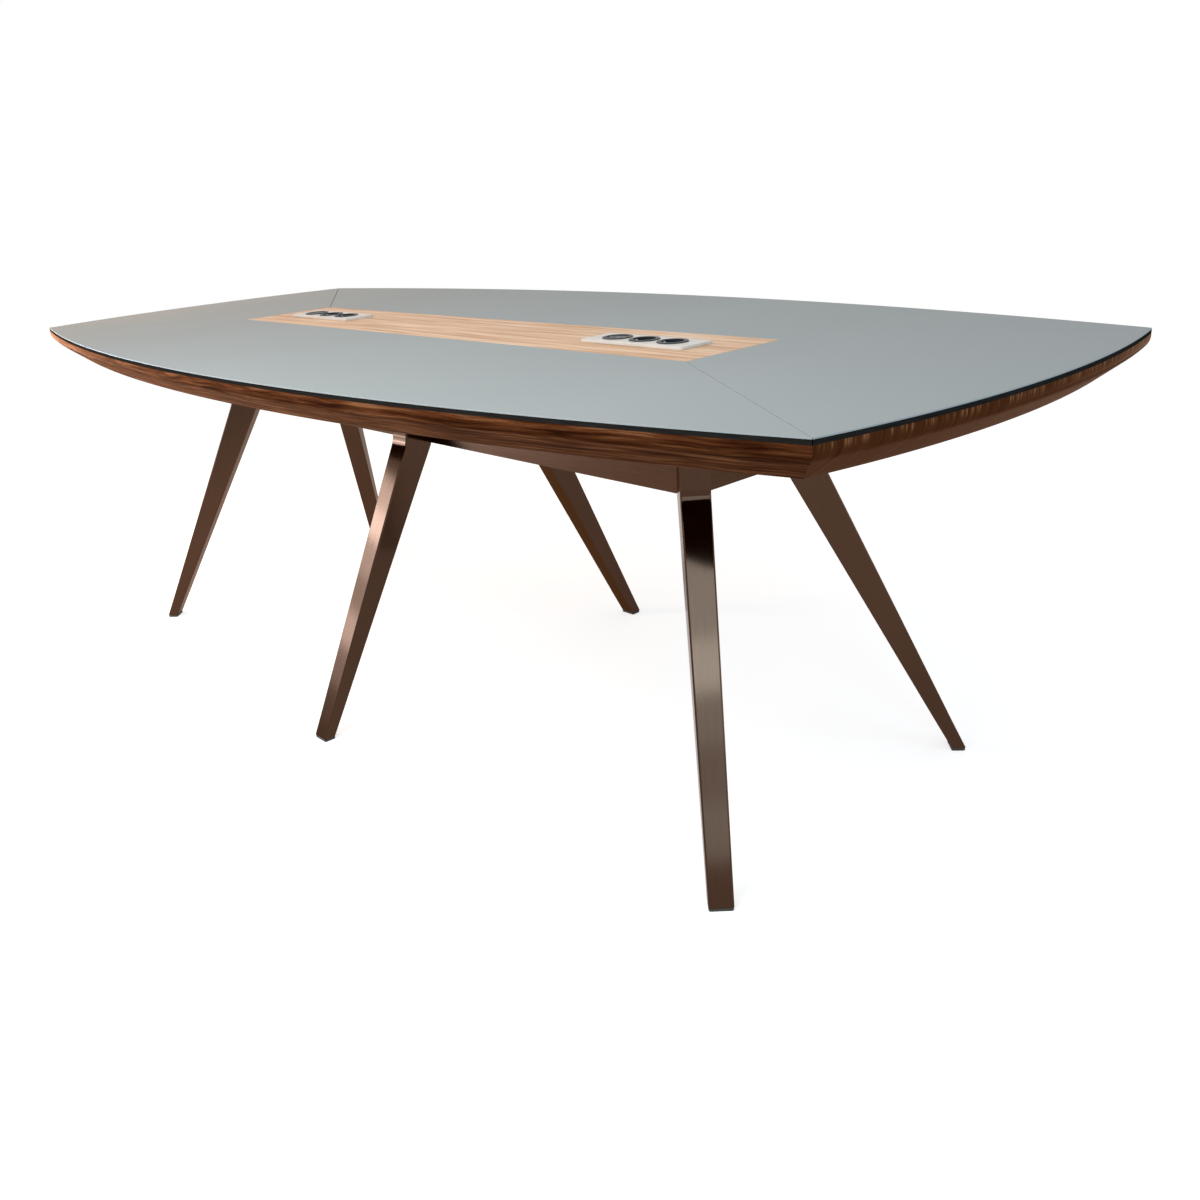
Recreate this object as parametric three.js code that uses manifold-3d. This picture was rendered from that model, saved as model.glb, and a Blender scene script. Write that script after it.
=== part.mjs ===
// Boat-shaped conference table: a veneered board with a shaped edge carries four grey panels,
// a wood inlay and two power modules, on a steel frame with six splayed legs and levelling feet.
// Millimetres, +Z up, +X along the table. The origin is on the floor under the middle of the top.
import * as THREE from 'three';
import { mergeVertices } from 'three/addons/utils/BufferGeometryUtils.js';
import Module from 'manifold-3d';

const wasm = await Module();
wasm.setup();

// Table top: four arcs that meet in four corners
const TOP_LENGTH = 2400;
const TOP_WIDTH = 1145;
const TABLE_HEIGHT = 750;
const SIDE_BOW = 147;
const END_BOW = 51;
const PANEL_THICKNESS = 8;
const BOARD_THICKNESS = 52;
const SEAM = 1.2;

// Board edge: an upright land under the panel, a round nose and a bevel running inward
const EDGE_LAND = 4;
const NOSE_RADIUS = 22;
const BEVEL_INSET = 48;

// Wood inlay along the middle of the top
const INLAY_END_MARGIN = 505;
const INLAY_WIDTH = 230;

// Power modules let into the inlay
const MODULE_INSET = 195;
const PLATE_END_MARGIN = 27;
const PLATE_SIDE_MARGIN = 12;
const PLATE_THICKNESS = 5;
const PLATE_CORNER = 5;
const INSERT_GAP = 10;
const INSERT_RIM_DIAMETER = 54;
const INSERT_LIP = 3.5;
const INSERT_WALL = 4;
const INSERT_RIM_HEIGHT = 1.5;
const INSERT_DEPTH = 34;
const SOCKET_WELL_DEPTH = 16;
const PIN_HOLE_DIAMETER = 5;
const PIN_HOLE_PITCH = 19;
const PIN_HOLE_DEPTH = 10;
const PORT_DEPTH = 14;
const DATA_PORT_WIDTH = 12;
const DATA_PORT_HEIGHT = 12;
const USB_PORT_WIDTH = 14;
const USB_PORT_HEIGHT = 6.5;
const PORT_SPACING = 17;
const PLATE_LIP = 9;
const HOUSING_DEPTH = 46;
const HOUSING_WALL = 2.5;
const HOUSING_CLEARANCE = 2;
const GLAND_BORE = 9;
const GLAND_NECK_DIAMETER = 16;
const GLAND_FLANGE_DIAMETER = 22;
const GLAND_FLANGE_THICKNESS = 4;
const GLAND_NECK_LENGTH = 8;
const GLAND_INSET = 33;

// Steel frame: a ring of folded channel rails with the legs outside it
const END_OVERHANG = 492;
const RING_WIDTH = 242;
const RAIL_HEIGHT = 148;
const RAIL_FLANGE = 36;
const RAIL_WALL = 4;
const CORNER_SETBACK = 10;
const CORNER_PLATE_DEPTH = 34;
const CORNER_PLATE_WING = 36;
const PLATE_STOCK = 4;
const PLATE_MARGIN = 8;
const BACKING_WIDTH = 90;
const CROSS_RAIL_WIDTH = 40;
const CROSS_RAIL_HEIGHT = 50;
const CROSS_RAIL_WALL = 3;

// Legs: an upright post beside the rails, a knee, and a tapering splayed shank
const END_LEG_TURN = 47;
const FOOT_REACH = 318;
const POST_DEPTH = 61.5;
const POST_WIDTH = 47.5;
const FOOT_DEPTH = 25;
const FOOT_WIDTH = 38.5;
const KNEE_ABOVE_RAIL = 2.6;
const KNEE_OUTER_RADIUS = 52;
const KNEE_INNER_RADIUS = 40;
const LEG_CORNER = 3;
const LEG_WALL = 3;

// Leg bolts: two to a leg, one above the other
const BOLT_DIAMETER = 8;
const BOLT_HEAD_ACROSS = 13;
const BOLT_HEAD_HEIGHT = 5.5;
const BOLT_GRIP = 15;
const BOLT_SPACING = 92;
const NUT_BOSS_DIAMETER = 14;
const NUT_BOSS_END = 3;

// Levelling feet: a threaded stud under a pad of the leg's own section
const PAD_HEIGHT = 5;
const PAD_INSET = 0.5;
const STUD_DIAMETER = 8;
const STUD_LENGTH = 20;
const STUD_COLLAR_DIAMETER = 12;
const STUD_COLLAR_HEIGHT = 2.4;

// Clearances, and how far a cutting tool runs past the face that it opens
const SEAT_GAP = 0.3;
const HOLE_GAP = 0.3;
const CUT_OVERRUN = 1;

// Facets on round forms
const SIDE_STEPS = 28;
const END_STEPS = 16;
const NOSE_STEPS = 5;
const CORNER_STEPS = 2;
const KNEE_STEPS = 6;
const ROUND_SIDES = 24;
const BOLT_SIDES = 12;
const HEX_SIDES = 6;

// Heights of the layers, from the top down
const panelBottom = TABLE_HEIGHT - PANEL_THICKNESS;
const boardTop = panelBottom - SEAT_GAP;
const boardBottom = panelBottom - BOARD_THICKNESS;
const railTop = boardBottom - SEAT_GAP;
const railBottom = railTop - RAIL_HEIGHT;
const railMiddle = railTop - RAIL_HEIGHT / 2;
const boltHeights = [railMiddle - BOLT_SPACING / 2, railMiddle + BOLT_SPACING / 2];

// Corners of the top and of the frame ring, and the plan of the inlay
const cornerX = TOP_LENGTH / 2 - END_BOW;
const cornerY = TOP_WIDTH / 2 - SIDE_BOW;
const ringX = TOP_LENGTH / 2 - END_OVERHANG;
const ringY = RING_WIDTH / 2;
const inlayLength = TOP_LENGTH - 2 * INLAY_END_MARGIN;
const moduleOffset = inlayLength / 2 - MODULE_INSET;
const endLegTurn = THREE.MathUtils.degToRad(END_LEG_TURN);

// Materials
function finish(color, roughness, metalness) {
  return new THREE.MeshStandardMaterial({ color, roughness, metalness });
}
const greyPanel = finish(0xa3aaac, 0.55, 0);
const walnut = finish(0x5a3520, 0.4, 0);
const lightWood = finish(0xdfc09a, 0.5, 0);
const bronzeSteel = finish(0x5e4a3f, 0.32, 1);
const darkSteel = finish(0x3a3634, 0.5, 1);
const zincSteel = finish(0xa9abac, 0.4, 1);
const whitePlastic = finish(0xeceeef, 0.4, 0);
const blackPlastic = finish(0x26262c, 0.45, 0);
const nylon = finish(0x4a4640, 0.7, 0);

const table = new THREE.Group();

function addMesh(parent, name, geometry, material) {
  const mesh = new THREE.Mesh(geometry, material);
  mesh.name = name;
  parent.add(mesh);
  return mesh;
}

// Closed meshes into solids for cutting and joining, and back again
function toSolid(geometry) {
  const bare = geometry.clone();
  bare.deleteAttribute('normal');
  bare.deleteAttribute('uv');
  const merged = mergeVertices(bare);
  const vertProperties = Float32Array.from(merged.attributes.position.array);
  const corners = merged.index.array;
  const kept = [];
  for (let i = 0; i < corners.length; i += 3) {
    const [a, b, c] = [corners[i], corners[i + 1], corners[i + 2]];
    if (a !== b && b !== c && c !== a) kept.push(a, b, c);
  }
  const triVerts = Uint32Array.from(kept);
  return new wasm.Manifold(new wasm.Mesh({ numProp: 3, vertProperties, triVerts }));
}

function toGeometry(solid) {
  const mesh = solid.getMesh();
  const geometry = new THREE.BufferGeometry();
  geometry.setAttribute('position', new THREE.BufferAttribute(mesh.vertProperties, 3));
  geometry.setIndex(new THREE.BufferAttribute(mesh.triVerts, 1));
  geometry.computeVertexNormals();
  return geometry;
}

function cut(geometry, tools) {
  const solid = tools.reduce((rest, tool) => rest.subtract(toSolid(tool)), toSolid(geometry));
  return toGeometry(solid);
}

// A plan outline raised from one height to another
function prism(points, low, high, holes = []) {
  const shape = new THREE.Shape(points.map(([x, y]) => new THREE.Vector2(x, y)));
  shape.holes = holes.map((hole) => new THREE.Path(hole.map(([x, y]) => new THREE.Vector2(x, y))));
  const geometry = new THREE.ExtrudeGeometry(shape, { depth: high - low, bevelEnabled: false });
  return geometry.translate(0, 0, low);
}

// A skin through level rings with equal numbers of points, from the lowest ring up
function loft(rings) {
  const count = rings[0].length;
  const index = [];
  for (let level = 0; level + 1 < rings.length; level++) {
    for (let i = 0; i < count; i++) {
      const a = level * count + i;
      const b = level * count + ((i + 1) % count);
      index.push(a, b, b + count, a, b + count, a + count);
    }
  }
  const last = (rings.length - 1) * count;
  for (let i = 1; i + 1 < count; i++) {
    index.push(0, i + 1, i);
    index.push(last, last + i, last + i + 1);
  }
  const geometry = new THREE.BufferGeometry();
  geometry.setAttribute('position', new THREE.Float32BufferAttribute(rings.flat(2), 3));
  geometry.setIndex(index);
  geometry.computeVertexNormals();
  return geometry;
}

function roundedRectangle(lowX, highX, lowY, highY, radius) {
  const points = [];
  const centres = [[highX, highY], [lowX, highY], [lowX, lowY], [highX, lowY]];
  centres.forEach(([x, y], quarter) => {
    const centreX = x === highX ? x - radius : x + radius;
    const centreY = y === highY ? y - radius : y + radius;
    for (let step = 0; step <= CORNER_STEPS; step++) {
      const angle = (quarter + step / CORNER_STEPS) * Math.PI / 2;
      points.push([centreX + radius * Math.cos(angle), centreY + radius * Math.sin(angle)]);
    }
  });
  return points;
}

function rectangle(length, width) {
  const [x, y] = [length / 2, width / 2];
  return [[-x, -y], [x, -y], [x, y], [-x, y]];
}

// A convex polygon with every edge moved inward by the same distance
function insetPolygon(points, distance) {
  const edges = points.map((start, i) => {
    const end = points[(i + 1) % points.length];
    const length = Math.hypot(end[0] - start[0], end[1] - start[1]);
    const normal = [-(end[1] - start[1]) / length, (end[0] - start[0]) / length];
    return { normal, reach: normal[0] * start[0] + normal[1] * start[1] + distance };
  });
  return edges.map((edge, i) => {
    const before = edges[(i + edges.length - 1) % edges.length];
    return crossing(before.normal, before.reach, edge.normal, edge.reach);
  });
}

// The point where two lines meet, each given by its normal and its reach along that normal
function crossing(normalA, reachA, normalB, reachB) {
  const det = normalA[0] * normalB[1] - normalA[1] * normalB[0];
  const x = (reachA * normalB[1] - reachB * normalA[1]) / det;
  const y = (normalA[0] * reachB - normalB[0] * reachA) / det;
  return [x, y];
}

// Round bar between two heights
function bar(diameter, low, high, sides) {
  const geometry = new THREE.CylinderGeometry(diameter / 2, diameter / 2, high - low, sides);
  return geometry.rotateX(Math.PI / 2).translate(0, 0, (low + high) / 2);
}

function turned(profile) {
  const points = profile.map(([radius, height]) => new THREE.Vector2(radius, height));
  return new THREE.LatheGeometry(points, ROUND_SIDES).rotateX(Math.PI / 2);
}

// Outline of the top, moved inward: the arcs keep their centres, so the corners stay sharp
function topOutline(inset) {
  const sideRadius = (cornerX ** 2 + SIDE_BOW ** 2) / (2 * SIDE_BOW);
  const endRadius = (cornerY ** 2 + END_BOW ** 2) / (2 * END_BOW);
  const sideCentre = TOP_WIDTH / 2 - sideRadius;
  const endCentre = TOP_LENGTH / 2 - endRadius;
  const sideReach = sideRadius - inset;
  const endReach = endRadius - inset;
  const apart = Math.hypot(endCentre, sideCentre);
  const towards = Math.atan2(sideCentre, -endCentre);
  const fromEnd = Math.acos((apart ** 2 + endReach ** 2 - sideReach ** 2) / (2 * apart * endReach));
  const endAngle = towards + fromEnd > Math.PI ? towards + fromEnd - 2 * Math.PI : towards + fromEnd;
  const corner = [endCentre + endReach * Math.cos(endAngle), endReach * Math.sin(endAngle)];
  const endHalf = Math.asin(Math.abs(corner[1]) / endReach);
  const sideHalf = Math.asin(Math.abs(corner[0]) / sideReach);
  const points = [];
  for (const half of [1, -1]) {
    for (let step = 0; step < END_STEPS; step++) {
      const angle = endHalf * (2 * step / END_STEPS - 1);
      points.push([half * (endCentre + endReach * Math.cos(angle)), half * endReach * Math.sin(angle)]);
    }
    for (let step = 0; step < SIDE_STEPS; step++) {
      const angle = sideHalf * (1 - 2 * step / SIDE_STEPS);
      points.push([half * sideReach * Math.sin(angle), half * (sideCentre + sideReach * Math.cos(angle))]);
    }
  }
  return points;
}

// Edge profile of the board as [inset, height], from the underside up: bevel, nose, land
function edgeProfile() {
  const noseHeight = boardTop - EDGE_LAND;
  const drop = noseHeight - boardBottom;
  const run = BEVEL_INSET - NOSE_RADIUS;
  const slant = Math.hypot(run, drop);
  const tangentTurn = Math.acos(NOSE_RADIUS / slant) - Math.atan2(run, drop);
  const lastTurn = Math.PI / 2 - tangentTurn;
  const profile = [[BEVEL_INSET, boardBottom]];
  for (let step = 0; step <= NOSE_STEPS; step++) {
    const angle = lastTurn * (1 - step / NOSE_STEPS);
    profile.push([NOSE_RADIUS * (1 - Math.cos(angle)), noseHeight - NOSE_RADIUS * Math.sin(angle)]);
  }
  profile.push([0, boardTop]);
  return profile;
}

// Each power module is laid out round its row of three inserts
const insertPitch = INSERT_RIM_DIAMETER + INSERT_GAP;
const insertBodyDiameter = INSERT_RIM_DIAMETER - 2 * INSERT_LIP;
const wellDiameter = insertBodyDiameter - 2 * INSERT_WALL;
const plateLength = 2 * insertPitch + INSERT_RIM_DIAMETER + 2 * PLATE_END_MARGIN;
const plateWidth = INSERT_RIM_DIAMETER + 2 * PLATE_SIDE_MARGIN;
const housingLength = plateLength - 2 * PLATE_LIP;
const housingWidth = plateWidth - 2 * PLATE_LIP;
const glandOffset = housingLength / 2 - GLAND_INSET;
const modules = [
  { side: 'left', x: -moduleOffset },
  { side: 'right', x: moduleOffset },
];

function moduleCutouts(low, high) {
  const length = housingLength + 2 * HOUSING_CLEARANCE;
  const width = housingWidth + 2 * HOUSING_CLEARANCE;
  return modules.map(({ x }) => prism(rectangle(length, width), low, high).translate(x, 0, 0));
}

function addTop() {
  const rings = edgeProfile().map(([inset, z]) => topOutline(inset).map(([x, y]) => [x, y, z]));
  const boardCuts = moduleCutouts(boardBottom - CUT_OVERRUN, boardTop + CUT_OVERRUN);
  addMesh(table, 'top_board', cut(loft(rings), boardCuts), walnut);

  const inlay = insetPolygon(rectangle(inlayLength, INLAY_WIDTH), SEAM / 2);
  const inlayCuts = moduleCutouts(panelBottom - CUT_OVERRUN, TABLE_HEIGHT + CUT_OVERRUN);
  addMesh(table, 'center_inlay', cut(prism(inlay, panelBottom, TABLE_HEIGHT), inlayCuts), lightWood);

  const sheet = toSolid(prism(topOutline(0), panelBottom, TABLE_HEIGHT));
  const panelNames = ['front', 'right', 'back', 'left'];
  const inlayCorners = rectangle(inlayLength, INLAY_WIDTH);
  const topCorners = rectangle(2 * cornerX, 2 * cornerY);
  panelNames.forEach((name, i) => {
    const next = (i + 1) % panelNames.length;
    const outerStart = pastCorner(inlayCorners[i], topCorners[i]);
    const outerEnd = pastCorner(inlayCorners[next], topCorners[next]);
    const sector = insetPolygon([inlayCorners[i], outerStart, outerEnd, inlayCorners[next]], SEAM / 2);
    const wedge = prism(sector, panelBottom - CUT_OVERRUN, TABLE_HEIGHT + CUT_OVERRUN);
    const panel = sheet.intersect(toSolid(wedge));
    addMesh(table, `top_panel_${name}`, toGeometry(panel), greyPanel);
  });
}

// A mitre line runs from a corner of the inlay through a corner of the top and past it
function pastCorner(inlayCorner, topCorner) {
  return topCorner.map((value, axis) => value + (value - inlayCorner[axis]));
}

// One power module: face plate, three round inserts, the housing under them and a cable gland
function addModule({ side, x }) {
  const module = new THREE.Group();
  module.position.set(x, 0, 0);
  table.add(module);
  const plateBottom = TABLE_HEIGHT + SEAT_GAP;
  const plateTop = plateBottom + PLATE_THICKNESS;
  const places = [-insertPitch, 0, insertPitch];
  const holeDiameter = insertBodyDiameter + 2 * HOLE_GAP;
  const outline = roundedRectangle(
    -plateLength / 2, plateLength / 2, -plateWidth / 2, plateWidth / 2, PLATE_CORNER,
  );
  const holes = places.map((place) =>
    bar(holeDiameter, plateBottom - CUT_OVERRUN, plateTop + CUT_OVERRUN, ROUND_SIDES)
      .translate(place, 0, 0));
  addMesh(module, `power_plate_${side}`, cut(prism(outline, plateBottom, plateTop), holes), whitePlastic);

  addMesh(module, `data_insert_${side}`, dataInsert(plateTop), blackPlastic).position.x = places[0];
  addMesh(module, `power_socket_${side}_1`, socketInsert(plateTop), blackPlastic).position.x = places[1];
  addMesh(module, `power_socket_${side}_2`, socketInsert(plateTop), blackPlastic).position.x = places[2];

  const housingTop = plateBottom - SEAT_GAP;
  const housingBottom = housingTop - HOUSING_DEPTH;
  const inside = rectangle(housingLength - 2 * HOUSING_WALL, housingWidth - 2 * HOUSING_WALL);
  const hollow = prism(inside, housingBottom + HOUSING_WALL, housingTop + CUT_OVERRUN);
  const glandHole = bar(
    GLAND_NECK_DIAMETER + 2 * HOLE_GAP, housingBottom - CUT_OVERRUN, housingTop, ROUND_SIDES,
  ).translate(glandOffset, 0, 0);
  const box = prism(rectangle(housingLength, housingWidth), housingBottom, housingTop);
  addMesh(module, `power_housing_${side}`, cut(box, [hollow, glandHole]), blackPlastic);

  const flangeTop = housingBottom - SEAT_GAP;
  const gland = turned([
    [GLAND_BORE / 2, flangeTop - GLAND_FLANGE_THICKNESS],
    [GLAND_FLANGE_DIAMETER / 2, flangeTop - GLAND_FLANGE_THICKNESS],
    [GLAND_FLANGE_DIAMETER / 2, flangeTop],
    [GLAND_NECK_DIAMETER / 2, flangeTop],
    [GLAND_NECK_DIAMETER / 2, flangeTop + GLAND_NECK_LENGTH],
    [GLAND_BORE / 2, flangeTop + GLAND_NECK_LENGTH],
    [GLAND_BORE / 2, flangeTop - GLAND_FLANGE_THICKNESS],
  ]);
  addMesh(module, `cable_gland_${side}`, gland, blackPlastic).position.x = glandOffset;
}

// Outside of an insert, with a round well of the given depth sunk into its face
function insertBody(plateTop, wellDepth) {
  const seat = plateTop + SEAT_GAP;
  const face = seat + INSERT_RIM_HEIGHT;
  const bottom = face - INSERT_DEPTH;
  return turned([
    [0, bottom],
    [insertBodyDiameter / 2, bottom],
    [insertBodyDiameter / 2, seat],
    [INSERT_RIM_DIAMETER / 2, seat],
    [INSERT_RIM_DIAMETER / 2, face - INSERT_RIM_HEIGHT / 2],
    [INSERT_RIM_DIAMETER / 2 - INSERT_RIM_HEIGHT / 2, face],
    [wellDiameter / 2, face],
    [wellDiameter / 2, face - wellDepth],
    [0, face - wellDepth],
  ]);
}

function socketInsert(plateTop) {
  const wellFloor = plateTop + SEAT_GAP + INSERT_RIM_HEIGHT - SOCKET_WELL_DEPTH;
  const pins = [-1, 1].map((end) =>
    bar(PIN_HOLE_DIAMETER, wellFloor - PIN_HOLE_DEPTH, wellFloor + CUT_OVERRUN, BOLT_SIDES)
      .translate(0, end * PIN_HOLE_PITCH / 2, 0));
  return cut(insertBody(plateTop, SOCKET_WELL_DEPTH), pins);
}

function dataInsert(plateTop) {
  const face = plateTop + SEAT_GAP + INSERT_RIM_HEIGHT;
  const ports = [
    { width: DATA_PORT_WIDTH, height: DATA_PORT_HEIGHT, x: -PORT_SPACING / 2 },
    { width: USB_PORT_HEIGHT, height: USB_PORT_WIDTH, x: PORT_SPACING / 2 },
  ].map(({ width, height, x }) =>
    prism(rectangle(width, height), face - PORT_DEPTH, face + CUT_OVERRUN).translate(x, 0, 0));
  return cut(insertBody(plateTop, INSERT_RIM_HEIGHT), ports);
}

// Block whose flat face passes through a point of the plan and whose body lies the turned way
function cornerCutter(x, y, turn) {
  const size = 2 * (RAIL_HEIGHT + RAIL_FLANGE);
  const block = new THREE.BoxGeometry(size, size, size).translate(size / 2, 0, 0);
  return block.rotateZ(turn).translate(x, y, railMiddle);
}

// Bolt hole through frame pieces, along the direction that a leg faces
function boltHole(x, y, z, turn, low, high) {
  const hole = bar(BOLT_DIAMETER + 2 * HOLE_GAP, low, high, BOLT_SIDES);
  return hole.rotateY(Math.PI / 2).rotateZ(turn).translate(x, y, z);
}

// Folded channel along X with its web outside at y = 0 and its flanges inward. Its ends are
// mitred to the next rail, and trimmed to the inner face of the corner leg.
function channelRail(length, legTurn) {
  const profile = [
    [0, railBottom], [RAIL_FLANGE, railBottom], [RAIL_FLANGE, railBottom + RAIL_WALL],
    [RAIL_WALL, railBottom + RAIL_WALL], [RAIL_WALL, railTop - RAIL_WALL],
    [RAIL_FLANGE, railTop - RAIL_WALL], [RAIL_FLANGE, railTop], [0, railTop],
  ];
  const channel = prism(profile, -length / 2, length / 2);
  channel.applyMatrix4(new THREE.Matrix4().makeBasis(
    new THREE.Vector3(0, 1, 0), new THREE.Vector3(0, 0, 1), new THREE.Vector3(1, 0, 0),
  ));
  const tools = [];
  const reach = CORNER_SETBACK + SEAT_GAP;
  for (const end of [-1, 1]) {
    const mitreTurn = end > 0 ? Math.PI / 4 : 3 * Math.PI / 4;
    tools.push(cornerCutter(end * (length / 2 - SEAT_GAP), 0, mitreTurn));
    const outX = end * Math.sin(legTurn);
    const outY = -Math.cos(legTurn);
    const faceTurn = Math.atan2(outY, outX);
    tools.push(cornerCutter(end * length / 2 - outX * reach, -outY * reach, faceTurn));
    for (const z of boltHeights) {
      tools.push(boltHole(end * length / 2, 0, z, faceTurn, -RAIL_FLANGE, RAIL_FLANGE));
    }
  }
  return { channel, tools };
}

function addRails() {
  const side = channelRail(2 * ringX, endLegTurn);
  const middleHoles = boltHeights.map((z) => boltHole(0, 0, z, Math.PI / 2, -CUT_OVERRUN, 2 * RAIL_WALL));
  const sideRail = cut(side.channel, [...side.tools, ...middleHoles]);
  const end = channelRail(2 * ringY, Math.PI / 2 - endLegTurn);
  const endRail = cut(end.channel, end.tools);
  const places = [
    { name: 'side_rail_front', geometry: sideRail, x: 0, y: -ringY, turn: 0 },
    { name: 'side_rail_back', geometry: sideRail, x: 0, y: ringY, turn: Math.PI },
    { name: 'end_rail_right', geometry: endRail, x: ringX, y: 0, turn: Math.PI / 2 },
    { name: 'end_rail_left', geometry: endRail, x: -ringX, y: 0, turn: -Math.PI / 2 },
  ];
  for (const { name, geometry, x, y, turn } of places) {
    const rail = addMesh(table, name, geometry, bronzeSteel);
    rail.position.set(x, y, 0);
    rail.rotation.z = turn;
  }
}

// Heights between which the corner plates and the backing plates fit inside the channels
const plateLow = railBottom + RAIL_WALL + PLATE_MARGIN;
const plateHigh = railTop - RAIL_WALL - PLATE_MARGIN;

// Folded plate across a corner of the frame: a wing on each rail, and a face that the leg bolts pull on
function addCornerPlate(name, signX, signY) {
  const out = [Math.sin(endLegTurn), Math.cos(endLegTurn)];
  const legFace = ringX * out[0] + ringY * out[1] - CORNER_SETBACK;
  const layer = (depth) => {
    const x = ringX - RAIL_WALL - SEAT_GAP - depth;
    const y = ringY - RAIL_WALL - SEAT_GAP - depth;
    const reach = legFace - CORNER_PLATE_DEPTH - depth;
    return { x, y, sideFold: (reach - y * out[1]) / out[0], endFold: (reach - x * out[0]) / out[1] };
  };
  const outer = layer(0);
  const inner = layer(PLATE_STOCK);
  const sideTip = outer.sideFold - CORNER_PLATE_WING;
  const endTip = outer.endFold - CORNER_PLATE_WING;
  const outline = [
    [sideTip, outer.y], [outer.sideFold, outer.y], [outer.x, outer.endFold], [outer.x, endTip],
    [inner.x, endTip], [inner.x, inner.endFold], [inner.sideFold, inner.y], [sideTip, inner.y],
  ].map(([x, y]) => [signX * x, signY * y]);
  const turn = Math.atan2(signY * out[1], signX * out[0]);
  const holeReach = CORNER_SETBACK + CORNER_PLATE_DEPTH + 2 * PLATE_STOCK;
  const holes = boltHeights.map((z) =>
    boltHole(signX * ringX, signY * ringY, z, turn, -holeReach, 0));
  addMesh(table, name, cut(prism(outline, plateLow, plateHigh), holes), darkSteel);
}

// Plates behind the middle legs, and the cross rail between them
function addMiddle() {
  const outerY = ringY - RAIL_WALL - SEAT_GAP;
  const innerY = outerY - PLATE_STOCK;
  for (const [name, sign] of [['front', -1], ['back', 1]]) {
    const plate = prism(rectangle(BACKING_WIDTH, PLATE_STOCK), plateLow, plateHigh);
    plate.translate(0, sign * (outerY + innerY) / 2, 0);
    const reach = PLATE_STOCK + CUT_OVERRUN;
    const holes = boltHeights.map((z) => boltHole(0, sign * innerY, z, Math.PI / 2, -reach, reach));
    addMesh(table, `leg_backing_plate_${name}`, cut(plate, holes), darkSteel);
  }
  const half = innerY - SEAT_GAP;
  const bore = rectangle(CROSS_RAIL_WIDTH - 2 * CROSS_RAIL_WALL, CROSS_RAIL_HEIGHT - 2 * CROSS_RAIL_WALL);
  const tube = prism(rectangle(CROSS_RAIL_WIDTH, CROSS_RAIL_HEIGHT), -half, half, [bore]);
  tube.rotateX(Math.PI / 2).translate(0, 0, railMiddle);
  addMesh(table, 'center_cross_rail', tube, bronzeSteel);
}

// Leg faces in the leg's own frame: x runs outward from the post's inner face, z is the height
const legBottom = PAD_HEIGHT + SEAT_GAP;
const legTop = railTop - SEAT_GAP;
const kneeHeight = railBottom + KNEE_ABOVE_RAIL;

// One face of the leg: upright above the knee, sloping out to the foot below it, with a round
// between that starts and ends as far from the knee as its radius and the bend ask
function legFace(postX, footX, radius) {
  const slope = (footX - postX) / (kneeHeight - legBottom);
  const bend = Math.atan(slope);
  const kneeReach = radius * Math.tan(bend / 2);
  const arcTop = kneeHeight + kneeReach;
  const arcBottom = kneeHeight - kneeReach * Math.cos(bend);
  const at = (z) => {
    if (z >= arcTop) return postX;
    if (z <= arcBottom) return postX + slope * (kneeHeight - z);
    return postX + radius - Math.sqrt(radius ** 2 - (arcTop - z) ** 2);
  };
  return { at, kneeReach };
}

const outerFace = legFace(POST_DEPTH, FOOT_REACH + FOOT_DEPTH / 2, KNEE_OUTER_RADIUS);
const innerFace = legFace(0, FOOT_REACH - FOOT_DEPTH / 2, KNEE_INNER_RADIUS);

function legWidth(z) {
  const share = Math.min(1, (z - legBottom) / (kneeHeight - legBottom));
  return FOOT_WIDTH + (POST_WIDTH - FOOT_WIDTH) * share;
}

function legRing(z, wall, height = z) {
  const half = legWidth(z) / 2 - wall;
  const radius = LEG_CORNER - Math.min(wall, LEG_CORNER / 2);
  const [low, high] = [innerFace.at(z) + wall, outerFace.at(z) - wall];
  return roundedRectangle(low, high, -half, half, radius).map(([x, y]) => [x, y, height]);
}

// The stud stands upright in the sloping foot, midway between the nearest inner and outer faces
const studHoleTop = legBottom + STUD_LENGTH;
const studReach = (innerFace.at(legBottom) + outerFace.at(studHoleTop)) / 2;
const cavityFloor = studHoleTop + LEG_WALL;

function legGeometry() {
  const kneeSpan = Math.max(outerFace.kneeReach, innerFace.kneeReach);
  const knee = [];
  for (let step = 0; step <= KNEE_STEPS; step++) {
    knee.push(kneeHeight + kneeSpan * (2 * step / KNEE_STEPS - 1));
  }
  const outside = loft([legBottom, ...knee, legTop].map((z) => legRing(z, 0)));
  const cavity = loft([
    ...[cavityFloor, ...knee].map((z) => legRing(z, LEG_WALL)),
    legRing(legTop, LEG_WALL, legTop + CUT_OVERRUN),
  ]);
  const bossEnd = BOLT_GRIP + NUT_BOSS_END;
  const studBore = STUD_DIAMETER + 2 * HOLE_GAP;
  const studHole = bar(studBore, legBottom - CUT_OVERRUN, studHoleTop, BOLT_SIDES);
  studHole.translate(studReach, 0, 0);
  let leg = toSolid(outside).subtract(toSolid(cavity)).subtract(toSolid(studHole));
  for (const z of boltHeights) {
    const boss = bar(NUT_BOSS_DIAMETER, LEG_WALL / 2, bossEnd, BOLT_SIDES);
    leg = leg.add(toSolid(boss.rotateY(Math.PI / 2).translate(0, 0, z)));
    leg = leg.subtract(toSolid(boltHole(0, 0, z, 0, -CUT_OVERRUN, BOLT_GRIP + SEAT_GAP)));
  }
  return toGeometry(leg);
}

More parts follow.
